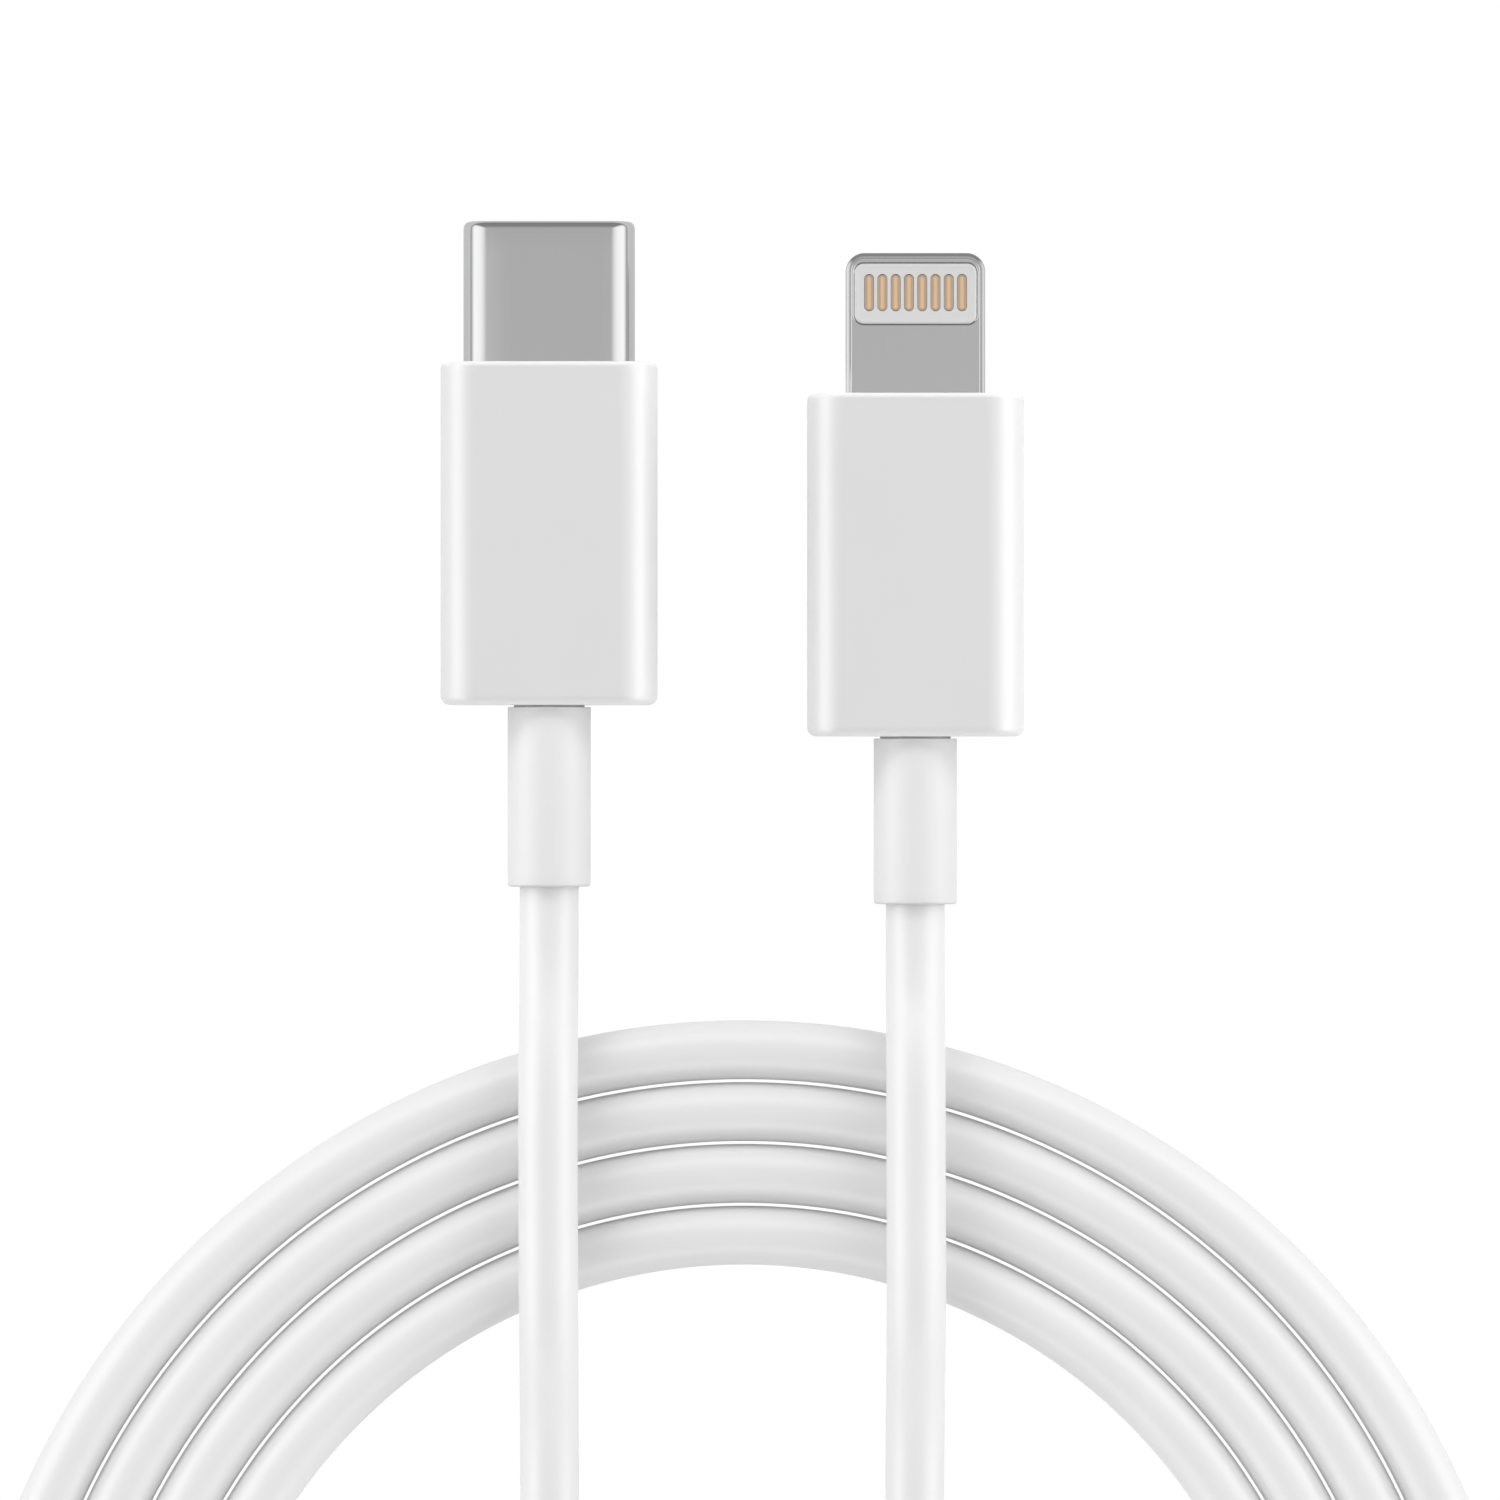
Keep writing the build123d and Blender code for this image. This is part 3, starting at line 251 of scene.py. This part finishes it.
def pads_with_painted_light(name, centre_x, pitch, centre_y, length):
    """Gold pads in a row: bright along the middle of each pad, with painted shade that darkens
    the gold to a brownish grey at its border, and a painted highlight, lighter and warmer, near its lower end."""
    material, tree, shader = new_material(name)

    def calc(operation, a, b=None):
        node = tree.nodes.new("ShaderNodeMath")
        node.operation = operation
        for socket, value in zip(node.inputs, (a, b)):
            if value is None:
                continue
            if isinstance(value, (int, float)):
                socket.default_value = value
            else:
                tree.links.new(value, socket)
        return node.outputs["Value"]

    coords = tree.nodes.new("ShaderNodeTexCoord")
    apart = tree.nodes.new("ShaderNodeSeparateXYZ")
    tree.links.new(coords.outputs["Object"], apart.inputs["Vector"])
    place = calc("FRACT", calc("ADD", calc("DIVIDE", calc("SUBTRACT", apart.outputs["X"], centre_x), pitch), 20.0))
    off_x = calc("MULTIPLY", calc("ABSOLUTE", calc("SUBTRACT", place, 0.5)), pitch)
    off_y = calc("SUBTRACT", apart.outputs["Y"], centre_y)
    past = calc("MAXIMUM", calc("SUBTRACT", calc("ABSOLUTE", off_y), length / 2 - 0.00021), 0.0)
    away = calc("SQRT", calc("ADD", calc("MULTIPLY", off_x, off_x), calc("MULTIPLY", past, past)))
    border = calc("DIVIDE", away, 0.00022)
    # painted shade: the gold darkens to a brownish grey towards each pad's border
    across = ramp(tree, border, [
        (0.0, (1.0, 0.72, 0.455)), (0.22, (0.99, 0.70, 0.44)), (0.34, (0.90, 0.63, 0.40)),
        (0.54, (0.72, 0.515, 0.35)), (0.76, (0.62, 0.47, 0.355)), (1.0, (0.62, 0.53, 0.45)),
    ])
    # painted highlight: a lighter, warmer band near the lower end of each pad, on its middle only
    lower = tree.nodes.new("ShaderNodeMixRGB")
    lower.inputs["Color2"].default_value = (1.0, 0.74, 0.52, 1.0)
    painted_end_highlight = ramp(tree, calc("ADD", calc("DIVIDE", off_y, length), 0.5),
                    [(0.06, (0.0,) * 3), (0.12, (0.35,) * 3), (0.22, (0.0,) * 3)])
    core = ramp(tree, border, [(0.35, (1.0,) * 3), (0.65, (0.0,) * 3)])
    weight = tree.nodes.new("ShaderNodeMixRGB")
    weight.blend_type = "MULTIPLY"
    weight.inputs["Fac"].default_value = 1.0
    tree.links.new(painted_end_highlight, weight.inputs["Color1"])
    tree.links.new(core, weight.inputs["Color2"])
    tree.links.new(weight.outputs["Color"], lower.inputs["Fac"])
    tree.links.new(across, lower.inputs["Color1"])
    tree.links.new(lower.outputs["Color"], shader.inputs["Base Color"])
    tree.links.new(span(tree, noise(tree, 2600.0, 3.0), 0.40, 0.46), shader.inputs["Roughness"])
    bump(tree, shader, noise(tree, 1800.0, 3.0, 0.5, (1.0, 0.2, 1.0)), 0.1, 0.0000008)
    shader.inputs["Metallic"].default_value = 1.0
    return material


# gold for the pads, with painted shade at their borders and a painted highlight near their lower ends
pad_gold_painted_light = pads_with_painted_light("pad_gold_painted_light", 0.0088, 0.000637, 0.01296, 0.00178)
slot_of = {s["node"]: s["material_slot"] for s in frame["record"]["subparts"]}
for name, node in nodes.items():
    node.data.materials.clear()
    node.data.materials.append(materials[slot_of[name]])
cord.data.materials.append(materials["cord_jacket"])


# ------------------------------------------------------------------ pieces
def outline(half_w, half_h, radius, arc=16, across=1, along=1):
    """Rounded rectangle round (0, 0), the same number of points whatever its size."""
    radius = min(radius, half_w, half_h)
    corners = []
    for sx, sy, start in ((1, 1, 0), (-1, 1, 90), (-1, -1, 180), (1, -1, 270)):
        cx, cy = sx * (half_w - radius), sy * (half_h - radius)
        corners.append([
            (cx + radius * math.cos(math.radians(start + 90.0 * i / arc)),
             cy + radius * math.sin(math.radians(start + 90.0 * i / arc)))
            for i in range(arc + 1)
        ])
    points = []
    for k, corner in enumerate(corners):
        points += corner
        steps = across if k % 2 == 0 else along
        (x0, y0), (x1, y1) = corner[-1], corners[(k + 1) % 4][0]
        points += [
            (x0 + (x1 - x0) * i / steps, y0 + (y1 - y0) * i / steps)
            for i in range(1, steps)
        ]
    return points


def skin(bm, rings, ends="close"):
    """Bridges rings of equal length; ends are closed on each other or capped."""
    rows = [[bm.verts.new(point) for point in ring] for ring in rings]
    count = len(rows[0])
    pairs = list(zip(rows, rows[1:]))
    if ends == "close":
        pairs.append((rows[-1], rows[0]))
    for low, high in pairs:
        for i in range(count):
            j = (i + 1) % count
            bm.faces.new((low[i], low[j], high[j], high[i]))
    if ends == "cap":
        bm.faces.new(rows[0][::-1])
        bm.faces.new(rows[-1])


def finished(name, bm, body, slot_name, node_names, sharp=32.0):
    """Turns the mesh into a piece that stands for CAD nodes."""
    bmesh.ops.remove_doubles(bm, verts=bm.verts, dist=1e-8)
    bmesh.ops.recalc_face_normals(bm, faces=bm.faces)
    for face in bm.faces:
        face.smooth = True
    for edge in bm.edges:
        if len(edge.link_faces) == 2 and edge.calc_face_angle(0.0) > math.radians(sharp):
            edge.smooth = False
    mesh = bpy.data.meshes.new(name)
    bm.to_mesh(mesh)
    bm.free()
    piece = bpy.data.objects.new(name, mesh)
    scene.collection.objects.link(piece)
    weighted = piece.modifiers.new("weighted_normals", "WEIGHTED_NORMAL")
    weighted.keep_sharp = True
    weighted.weight = 80
    mesh.materials.append(materials[slot_name])
    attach(piece, body)
    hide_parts(*node_names)
    return piece


white_pieces = [cord]
AXIS_Z = 0.0026
HOUSING_W, HOUSING_H, HOUSING_R = 0.0104, 0.0052, 0.0019
FRONT_R, REAR_R = 0.00028, 0.00045


def housing(name, opening):
    """White moulded housing: a shell with a rounded front edge, a fuller rear
    edge, an opening for the plug in front and one for the strain relief."""
    low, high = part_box(name)
    x = (low[0] + high[0]) / 2
    front, rear = high[1], low[1]
    open_w, open_h, open_r = opening

    def ring(y, half_w, half_h, radius):
        return [(x + px, y, AXIS_Z + pz) for px, pz in outline(half_w, half_h, radius, 20, 6, 3)]

    def body_ring(y, inset):
        return ring(y, HOUSING_W / 2 - inset, HOUSING_H / 2 - inset, HOUSING_R - inset)

    rings = [
        ring(front - 0.0012, open_w / 2, open_h / 2, open_r),
        ring(front - 0.00008, open_w / 2, open_h / 2, open_r),
        ring(front - 0.00002, open_w / 2 + 0.00003, open_h / 2 + 0.00003, open_r + 0.00003),
        ring(front, open_w / 2 + 0.00008, open_h / 2 + 0.00008, open_r + 0.00008),
    ]
    steps = 8
    for i in range(steps + 1):
        t = math.radians(90.0 * i / steps)
        rings.append(body_ring(front - FRONT_R * (1 - math.cos(t)), FRONT_R * (1 - math.sin(t))))
    for i in range(1, 10):
        rings.append(body_ring(front - FRONT_R + (rear + REAR_R - front + FRONT_R) * i / 10, 0.0))
    for i in range(steps + 5):
        t = math.radians(90.0 * i / (steps + 4))
        rings.append(body_ring(rear + REAR_R * (1 - math.sin(t)), REAR_R * (1 - math.cos(t))))
    hole = 0.00173
    rings.append(ring(rear, hole, hole, hole))
    rings.append(ring(rear + 0.00123, hole, hole, hole))
    rings.append(ring(rear + 0.00123, 0.0045, 0.0019, 0.00125))
    rings.append(ring(front - 0.0012, 0.0045, 0.0019, 0.00125))
    bm = bmesh.new()
    skin(bm, rings)
    return finished(name.replace("housing", "moulded_housing"), bm, "cable", "housing_white", [name])


white_pieces.append(housing("usb_c_housing", (0.00831, 0.00246, 0.00123)))
white_pieces.append(housing("tab_housing", (0.00676, 0.00156, 0.00028)))


def strain_relief(name):
    """Soft sleeve with a rounded end, a neck through the housing and a flange."""
    low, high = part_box(name)
    x = (low[0] + high[0]) / 2
    end = low[1]
    shoulder = high[1] - 0.0009 - 0.00125 - 0.00010
    profile = [(0.00145, end + 0.00026), (0.00153, end + 0.00020), (0.00155, end + 0.00003), (0.00158, end)]
    steps = 6
    edge = 0.00014
    for i in range(steps + 1):
        t = math.radians(90.0 * i / steps)
        profile.append((0.0020 - edge * (1 - math.sin(t)), end + edge * (1 - math.cos(t))))
    for i in range(1, 12):
        profile.append((0.0020, end + edge + (shoulder - end - edge) * i / 12))
    profile += [
        (0.0020, shoulder - 0.00004), (0.00199, shoulder - 0.00001), (0.00196, shoulder),
        (0.0017, shoulder), (0.0017, high[1] - 0.0009),
        (0.00185, high[1] - 0.0009), (0.00185, high[1]), (0.00145, high[1]),
    ]
    count = 96
    rings = [
        [(x + r * math.cos(2 * math.pi * i / count), y, AXIS_Z + r * math.sin(2 * math.pi * i / count))
         for i in range(count)]
        for r, y in profile
    ]
    bm = bmesh.new()
    skin(bm, rings)
    return finished(name.replace("relief", "relief_sleeve"), bm, "cable", "strain_relief_white", [name])


white_pieces.append(strain_relief("usb_c_strain_relief"))
white_pieces.append(strain_relief("tab_strain_relief"))


def type_c_shell():
    """Deep-drawn shell: full-round sides and an edge that rolls in at the tip."""
    low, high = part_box("usb_c_shell")
    x = (low[0] + high[0]) / 2
    tip, rear = high[1], low[1]
    half_w, half_h, wall = 0.004125, 0.0012, 0.0003

    crown = 0.00002

    def ring(y, inset):
        points = []
        for px, pz in outline(half_w - inset, half_h - crown - inset, half_h - crown - inset, 24, 24, 1):
            flat = 1.0 - min(max((abs(px) - 0.0019) / 0.00102, 0.0), 1.0) ** 2
            points.append((x + px, y, AXIS_Z + pz + math.copysign(crown * flat, pz)))
        return points

    steps = 12
    roll, lip = 0.00036, 0.00027
    rings = []
    for i in range(steps + 1):
        t = math.radians(90.0 * i / steps)
        rings.append(ring(tip - roll * (1 - math.cos(t)), lip * (1 - math.sin(t))))
    for i in range(1, 9):
        rings.append(ring(tip - roll + (rear - tip + roll) * i / 8, 0.0))
    rings.append(ring(rear, wall))
    rings.append(ring(tip - 0.00032, wall))
    rings.append(ring(tip - 0.00006, wall + 0.00001))
    rings.append(ring(tip - 0.00001, wall - 0.00001))
    bm = bmesh.new()
    skin(bm, rings)
    return finished("usb_c_drawn_shell", bm, "cable", "shell_steel", ["usb_c_shell"])


type_c_shell()

WINDOW_W, WINDOW_L, WINDOW_R, WINDOW_Y = 0.00593, 0.00295, 0.00047, 0.01291
PAD_PITCH, PAD_Y, PAD_L = 0.000637, 0.01296, 0.00178


def steel_tab():
    """Machined tab: rounded tip, rounded edges, a window, catches in its sides,
    and the flange that sits behind the housing's front wall."""
    low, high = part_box("tab_body")
    x = (low[0] + high[0]) / 2
    tip, rear = high[1], 0.0060
    half_l, mid_y = (tip - rear) / 2, (tip + rear) / 2
    half_t = 0.00075
    along = 150

    def ring(z, inset):
        points = []
        for px, py in outline(0.00335 - inset, half_l - inset, 0.0009 - inset, 16, 6, along):
            y = mid_y + py
            if abs(px) > 0.0030:
                reach = math.sqrt(max(0.00046 ** 2 - (y - 0.0104) ** 2 - z ** 2, 0.0)) - 0.00019
                px -= math.copysign(max(reach, 0.0), px)
            points.append((x + px, y, AXIS_Z + z))
        return points

    def window(z, grow=0.0):
        return [
            (x + px, WINDOW_Y + py, AXIS_Z + z)
            for px, py in outline(WINDOW_W / 2 + grow, WINDOW_L / 2 + grow, WINDOW_R + grow, 16, 6, along)
        ]

    # inset from the side and depth below the face, from the face outward
    slope = [
        (0.00030, 0.0), (0.000272, 0.0), (0.000262, 0.000005), (0.000250, 0.000015), (0.00022, 0.000043),
        (0.00019, 0.000071), (0.00016, 0.000096), (0.00013, 0.000119), (0.00009, 0.000149),
        (0.00005, 0.000179), (0.00002, 0.000200), (0.000005, 0.000218), (0.0, 0.00026),
    ]
    rings = [window(-half_t + 0.00004), window(-half_t + 0.00001, 0.00001), window(-half_t, 0.00004), window(-half_t, 0.00008)]
    rings += [ring(-half_t + depth, inset) for inset, depth in slope]
    rings += [ring(0.00004 * k, 0.0) for k in range(-11, 12)]
    rings += [ring(half_t - depth, inset) for inset, depth in reversed(slope)]
    rings += [window(half_t, 0.00008), window(half_t, 0.00004), window(half_t - 0.00001, 0.00001), window(half_t - 0.00004)]
    bm = bmesh.new()
    skin(bm, rings)
    flange = [
        [(x + px, y, AXIS_Z + pz) for px, pz in outline(0.0039 - inset, 0.0012 - inset, 0.0005 - inset, 8, 2, 1)]
        for y, inset in ((0.0056, 0.00008), (0.00568, 0.0), (0.00672, 0.0), (0.0068, 0.00008))
    ]
    skin(bm, flange, "cap")
    return finished("tab_steel_body", bm, "cable", "tab_steel", ["tab_body"])


steel_tab()


def contact_carrier():
    """Light moulded plate in the window with a soft raised border and a pocket
    for each contact, on both faces, and a tongue that runs back to the board."""
    x = (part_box("tab_body")[0][0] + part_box("tab_body")[1][0]) / 2
    half_w, half_l, radius = WINDOW_W / 2 - 0.00002, WINDOW_L / 2 - 0.00002, WINDOW_R - 0.00002
    face = 0.00073
    levels = [
        (-face, 0.00028), (-face, 0.00024), (-face - 0.000012, 0.00019), (-face - 0.000018, 0.00014),
        (-face - 0.000016, 0.00009), (-face + 0.00001, 0.00003), (-face + 0.00004, 0.0),
    ]
    rings = []
    for z, inset in levels:
        rings.append((z, inset))
    rings += [(-z, inset) for z, inset in reversed(levels)]
    bm = bmesh.new()
    skin(bm, [
        [(x + px, WINDOW_Y + py, AXIS_Z + z) for px, py in outline(half_w - i, half_l - i, radius - i, 12, 1, 1)]
        for z, i in rings
    ], "cap")
    mesh = bpy.data.meshes.new("carrier_plate")
    bmesh.ops.recalc_face_normals(bm, faces=bm.faces)
    bm.to_mesh(mesh)
    bm.free()
    plate = bpy.data.objects.new("carrier_plate", mesh)
    scene.collection.objects.link(plate)

    bm = bmesh.new()
    for sign in (1, -1):
        for i in range(8):
            cx = x + (i - 3.5) * PAD_PITCH
            skin(bm, [
                [(cx + px, PAD_Y + py, AXIS_Z + sign * z) for px, py in outline(0.000236, PAD_L / 2 + 0.000005, 0.000236, 10, 1, 1)]
                for z in (0.00058, 0.0009)
            ], "cap")
    bmesh.ops.recalc_face_normals(bm, faces=bm.faces)
    cutter_mesh = bpy.data.meshes.new("pocket_cutter")
    bm.to_mesh(cutter_mesh)
    bm.free()
    cutter = bpy.data.objects.new("pocket_cutter", cutter_mesh)
    scene.collection.objects.link(cutter)
    cut = plate.modifiers.new("pockets", "BOOLEAN")
    cut.operation = "DIFFERENCE"
    cut.solver = "EXACT"
    cut.object = cutter
    bpy.context.view_layer.update()
    cut_mesh = bpy.data.meshes.new_from_object(plate.evaluated_get(bpy.context.evaluated_depsgraph_get()))
    bm = bmesh.new()
    bm.from_mesh(cut_mesh)
    bpy.data.objects.remove(plate)
    bpy.data.objects.remove(cutter)
    skin(bm, [
        [(x + px, y, AXIS_Z + pz) for px, pz in outline(0.00258, 0.00043, 0.00005, 3, 1, 1)]
        for y in (0.0092, 0.0116)
    ], "cap")
    return finished("tab_moulded_carrier", bm, "cable", "carrier_grey", ["tab_contact_carrier"], 25.0)


white_pieces.append(contact_carrier())


def contact_pads(name, sign):
    """Eight round-ended contacts with softened edges."""
    x = (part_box("tab_body")[0][0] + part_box("tab_body")[1][0]) / 2
    bm = bmesh.new()
    for i in range(8):
        cx = x + (i - 3.5) * PAD_PITCH
        rings = []
        for z, inset in ((0.00058, 0.0), (0.00066, 0.0), (0.000700, 0.00001), (0.00071, 0.00003),
                         (0.00071, 0.00006), (0.00071, 0.00012)):
            rings.append([
                (cx + px, PAD_Y + py, AXIS_Z + sign * z)
                for px, py in outline(0.000226 - inset, PAD_L / 2 - 0.000005 - inset, 0.000226 - inset, 10, 1, 1)
            ])
        skin(bm, rings, "cap")
    piece = finished(name.replace("contacts", "contact_pads"), bm, "cable", "contact_gold", [name], 50.0)
    # the pads take the gold with painted shade at the borders and a painted highlight near the lower end
    piece.data.materials.clear()
    piece.data.materials.append(pad_gold_painted_light)
    return piece


contact_pads("tab_upper_contacts", 1)
contact_pads("tab_lower_contacts", -1)

# ------------------------------------------------------------------ studio
floor_mesh = bpy.data.meshes.new("table_top")
floor_mesh.from_pydata([(-4, -4, 0), (4, -4, 0), (4, 4, 0), (-4, 4, 0)], [], [(0, 1, 2, 3)])
floor = bpy.data.objects.new("table_top", floor_mesh)
floor.location = (0, 0, -0.00002)
scene.collection.objects.link(floor)
floor_material, floor_tree, floor_shader = new_material("table_top")
floor_tree.links.new(
    ramp(floor_tree, noise(floor_tree, 6.0), [(0.3, (0.29, 0.29, 0.29)), (0.7, (0.31, 0.31, 0.31))]),
    floor_shader.inputs["Base Color"],
)
floor_shader.inputs["Roughness"].default_value = 0.7
floor_shader.inputs["Specular IOR Level"].default_value = 0.2
floor_shader.inputs["Emission Color"].default_value = (1.0, 1.0, 1.0, 1.0)
floor_shader.inputs["Emission Strength"].default_value = 0.50
# the table is a lit white panel: it shows clean white, and throws back only soft light
glow = floor_tree.nodes.new("ShaderNodeEmission")
glow.inputs["Color"].default_value = (1.0, 1.0, 1.0, 1.0)
glow.inputs["Strength"].default_value = 1.02
seen = floor_tree.nodes.new("ShaderNodeLightPath")
mix = floor_tree.nodes.new("ShaderNodeMixShader")
floor_out = next(n for n in floor_tree.nodes if n.type == "OUTPUT_MATERIAL")
floor_tree.links.new(seen.outputs["Is Camera Ray"], mix.inputs["Fac"])
floor_tree.links.new(floor_shader.outputs["BSDF"], mix.inputs[1])
floor_tree.links.new(glow.outputs["Emission"], mix.inputs[2])
floor_tree.links.new(mix.outputs["Shader"], floor_out.inputs["Surface"])
floor_material.cycles.emission_sampling = "NONE"     # a wide glowing floor is cleaner found by bounces
floor.data.materials.append(floor_material)

world = bpy.data.worlds.new("studio")
world.use_nodes = True
scene.world = world
wt = world.node_tree
wt.nodes.clear()
w_out = wt.nodes.new("ShaderNodeOutputWorld")
w_back = wt.nodes.new("ShaderNodeBackground")
w_geo = wt.nodes.new("ShaderNodeTexCoord")
w_sep = wt.nodes.new("ShaderNodeSeparateXYZ")
wt.links.new(w_geo.outputs["Generated"], w_sep.inputs["Vector"])


def world_ramp(value, stops, scale=1.0):
    node = wt.nodes.new("ShaderNodeValToRGB")
    while len(node.color_ramp.elements) < len(stops):
        node.color_ramp.elements.new(0.5)
    for element, (position, level) in zip(node.color_ramp.elements, stops):
        element.position = position
        element.color = (level, level, level, 1.0)
    wt.links.new(value, node.inputs["Fac"])
    if scale == 1.0:
        return node.outputs["Color"]
    gain = wt.nodes.new("ShaderNodeMixRGB")
    gain.blend_type = "MULTIPLY"
    gain.inputs["Fac"].default_value = 1.0
    gain.inputs["Color2"].default_value = (scale, scale, scale, 1.0)
    wt.links.new(node.outputs["Color"], gain.inputs["Color1"])
    return gain.outputs["Color"]


def to_unit(value):
    node = wt.nodes.new("ShaderNodeMapRange")
    node.inputs["From Min"].default_value = -1.0
    node.inputs["From Max"].default_value = 1.0
    wt.links.new(value, node.inputs["Value"])
    return node.outputs["Result"]


def add(a, b):
    node = wt.nodes.new("ShaderNodeMixRGB")
    node.blend_type = "ADD"
    node.inputs["Fac"].default_value = 1.0
    wt.links.new(a, node.inputs["Color1"])
    wt.links.new(b, node.inputs["Color2"])
    return node.outputs["Color"]


def math_node(operation, a, b=None):
    node = wt.nodes.new("ShaderNodeMath")
    node.operation = operation
    for socket, value in zip(node.inputs, (a, b)):
        if value is None:
            continue
        if isinstance(value, (int, float)):
            socket.default_value = value
        else:
            wt.links.new(value, socket)
    return node.outputs["Value"]


def times(a, b):
    node = wt.nodes.new("ShaderNodeMixRGB")
    node.blend_type = "MULTIPLY"
    node.inputs["Fac"].default_value = 1.0
    wt.links.new(a, node.inputs["Color1"])
    wt.links.new(b, node.inputs["Color2"])
    return node.outputs["Color"]


# dim room above and before the table, a tall softbox down each side; stops
# are the sine of the height above the horizon
room = world_ramp(w_sep.outputs["Z"], [
    (0.0, ROOM[0]), (0.10, ROOM[1]), (0.22, ROOM[2]), (0.90, ROOM[3]), (0.965, ROOM[4]), (1.0, ROOM[5]),
])
boxes = world_ramp(w_sep.outputs["Z"], [
    (0.0, 0.0), (0.10, 0.0), (0.21, 0.40), (0.28, 0.70), (0.40, 1.0), (0.54, 1.0),
    (0.68, 0.96), (0.84, 0.90), (0.92, 0.74), (0.97, 0.42), (0.996, 0.12), (1.0, 0.0),
], 1.15)
flat_length = math_node("SQRT", math_node(
    "MAXIMUM", math_node("SUBTRACT", 1.0, math_node("MULTIPLY", w_sep.outputs["Z"], w_sep.outputs["Z"])), 0.0001))
sideways = math_node("DIVIDE", math_node("ABSOLUTE", w_sep.outputs["X"]), flat_length)
reach = world_ramp(sideways, [(0.0, 0.0), (0.70, 0.0), (0.90, 1.0), (1.0, 1.0)])
wt.links.new(add(room, times(boxes, reach)), w_back.inputs["Color"])
w_back.inputs["Strength"].default_value = 1.0
wt.links.new(w_back.outputs["Background"], w_out.inputs["Surface"])

# the white parts have softboxes of their own, kept off the metal by light linking
def receivers(name, pieces):
    group = bpy.data.collections.new(name)
    for piece in pieces:
        group.objects.link(piece)
    return group


housings = [piece for piece in white_pieces if "housing" in piece.name]
reliefs = [piece for piece in white_pieces if "relief" in piece.name]


def softbox(name, azimuth, elevation, width, height, level, distance=0.5, diffuse=True, glossy=True, lit=None):
    """Rectangle aimed at the plugs. Azimuth 0 is +Y, 90 is -X; level is the
    light it throws on a surface that faces it."""
    data = bpy.data.lights.new(name, "AREA")
    data.shape = "RECTANGLE"
    data.size, data.size_y = width, height
    data.energy = level * math.pi * math.pi * distance ** 2
    lamp = bpy.data.objects.new(name, data)
    a, e = math.radians(azimuth), math.radians(elevation)
    aim = Vector((0.0, -0.015, 0.003))
    lamp.location = aim + distance * Vector((-math.sin(a) * math.cos(e), math.cos(a) * math.cos(e), math.sin(e)))
    lamp.rotation_euler = (aim - lamp.location).to_track_quat("-Z", "Y").to_euler()
    lamp.visible_diffuse = diffuse
    lamp.visible_glossy = glossy
    lamp.light_linking.receiver_collection = lit
    scene.collection.objects.link(lamp)
    return lamp


lit_housings = receivers("lit_housings", housings + [p for p in white_pieces if "carrier" in p.name])
lit_reliefs = receivers("lit_reliefs", reliefs)
lit_cord = receivers("lit_cord", [cord, floor])
lit_soft = receivers("lit_soft", [cord] + reliefs)
lit_fronts = receivers("lit_fronts", housings)
softbox("housing_left", 32, 29, 0.34, 0.22, 0.195, glossy=False, lit=lit_housings)
softbox("housing_right", -34, 27, 0.34, 0.22, 0.125, glossy=False, lit=lit_housings)
softbox("relief_left", 32, 28, 0.34, 0.18, 0.42, glossy=False, lit=lit_reliefs)
softbox("relief_right", -34, 28, 0.34, 0.18, 0.30, glossy=False, lit=lit_reliefs)
softbox("cord_left", 34, 30, 0.34, 0.22, 0.29, glossy=False, lit=lit_cord)
softbox("cord_right", -36, 28, 0.34, 0.22, 0.20, glossy=False, lit=lit_cord)
softbox("front_fill", 180, 8, 0.7, 0.12, 0.30, glossy=False, lit=receivers("lit_cord_only", [cord]))
softbox("left_fill", 90, 7, 0.7, 0.12, 0.22, glossy=False, lit=lit_housings)
softbox("cord_left_fill", 90, 7, 0.7, 0.12, 0.19, glossy=False, lit=lit_soft)
softbox("right_fill", -90, 7, 0.7, 0.12, 0.50, glossy=False, lit=lit_housings)
softbox("cord_right_fill", -90, 7, 0.7, 0.12, 0.30, glossy=False, lit=lit_soft)
softbox("rim_back", 0, 8, 0.5, 0.10, 0.55, glossy=False, lit=lit_fronts)
softbox("rim_front", 180, 8, 0.5, 0.10, 0.44, glossy=False, lit=lit_fronts)
softbox("relief_rim", 180, 8, 0.5, 0.10, 0.14, glossy=False, lit=lit_reliefs)
softbox("left_gloss", 90, 19, 0.9, 0.42, 1.65, diffuse=False, lit=lit_housings)
softbox("cord_left_gloss", 90, 19, 0.9, 0.42, 1.30, diffuse=False, lit=lit_soft)
softbox("right_gloss", -90, 18, 0.9, 0.42, 1.60, diffuse=False, lit=lit_housings)
softbox("cord_right_gloss", -90, 18, 0.9, 0.42, 1.05, diffuse=False, lit=lit_soft)
softbox("back_gloss", 0, 36, 0.7, 0.16, 0.35, diffuse=False, lit=lit_cord)
softbox("front_gloss", 180, 36, 0.7, 0.16, 0.45, diffuse=False, lit=lit_cord)

scene.view_settings.view_transform = "Standard"
scene.view_settings.look = "None"

bpy.context.view_layer.update()
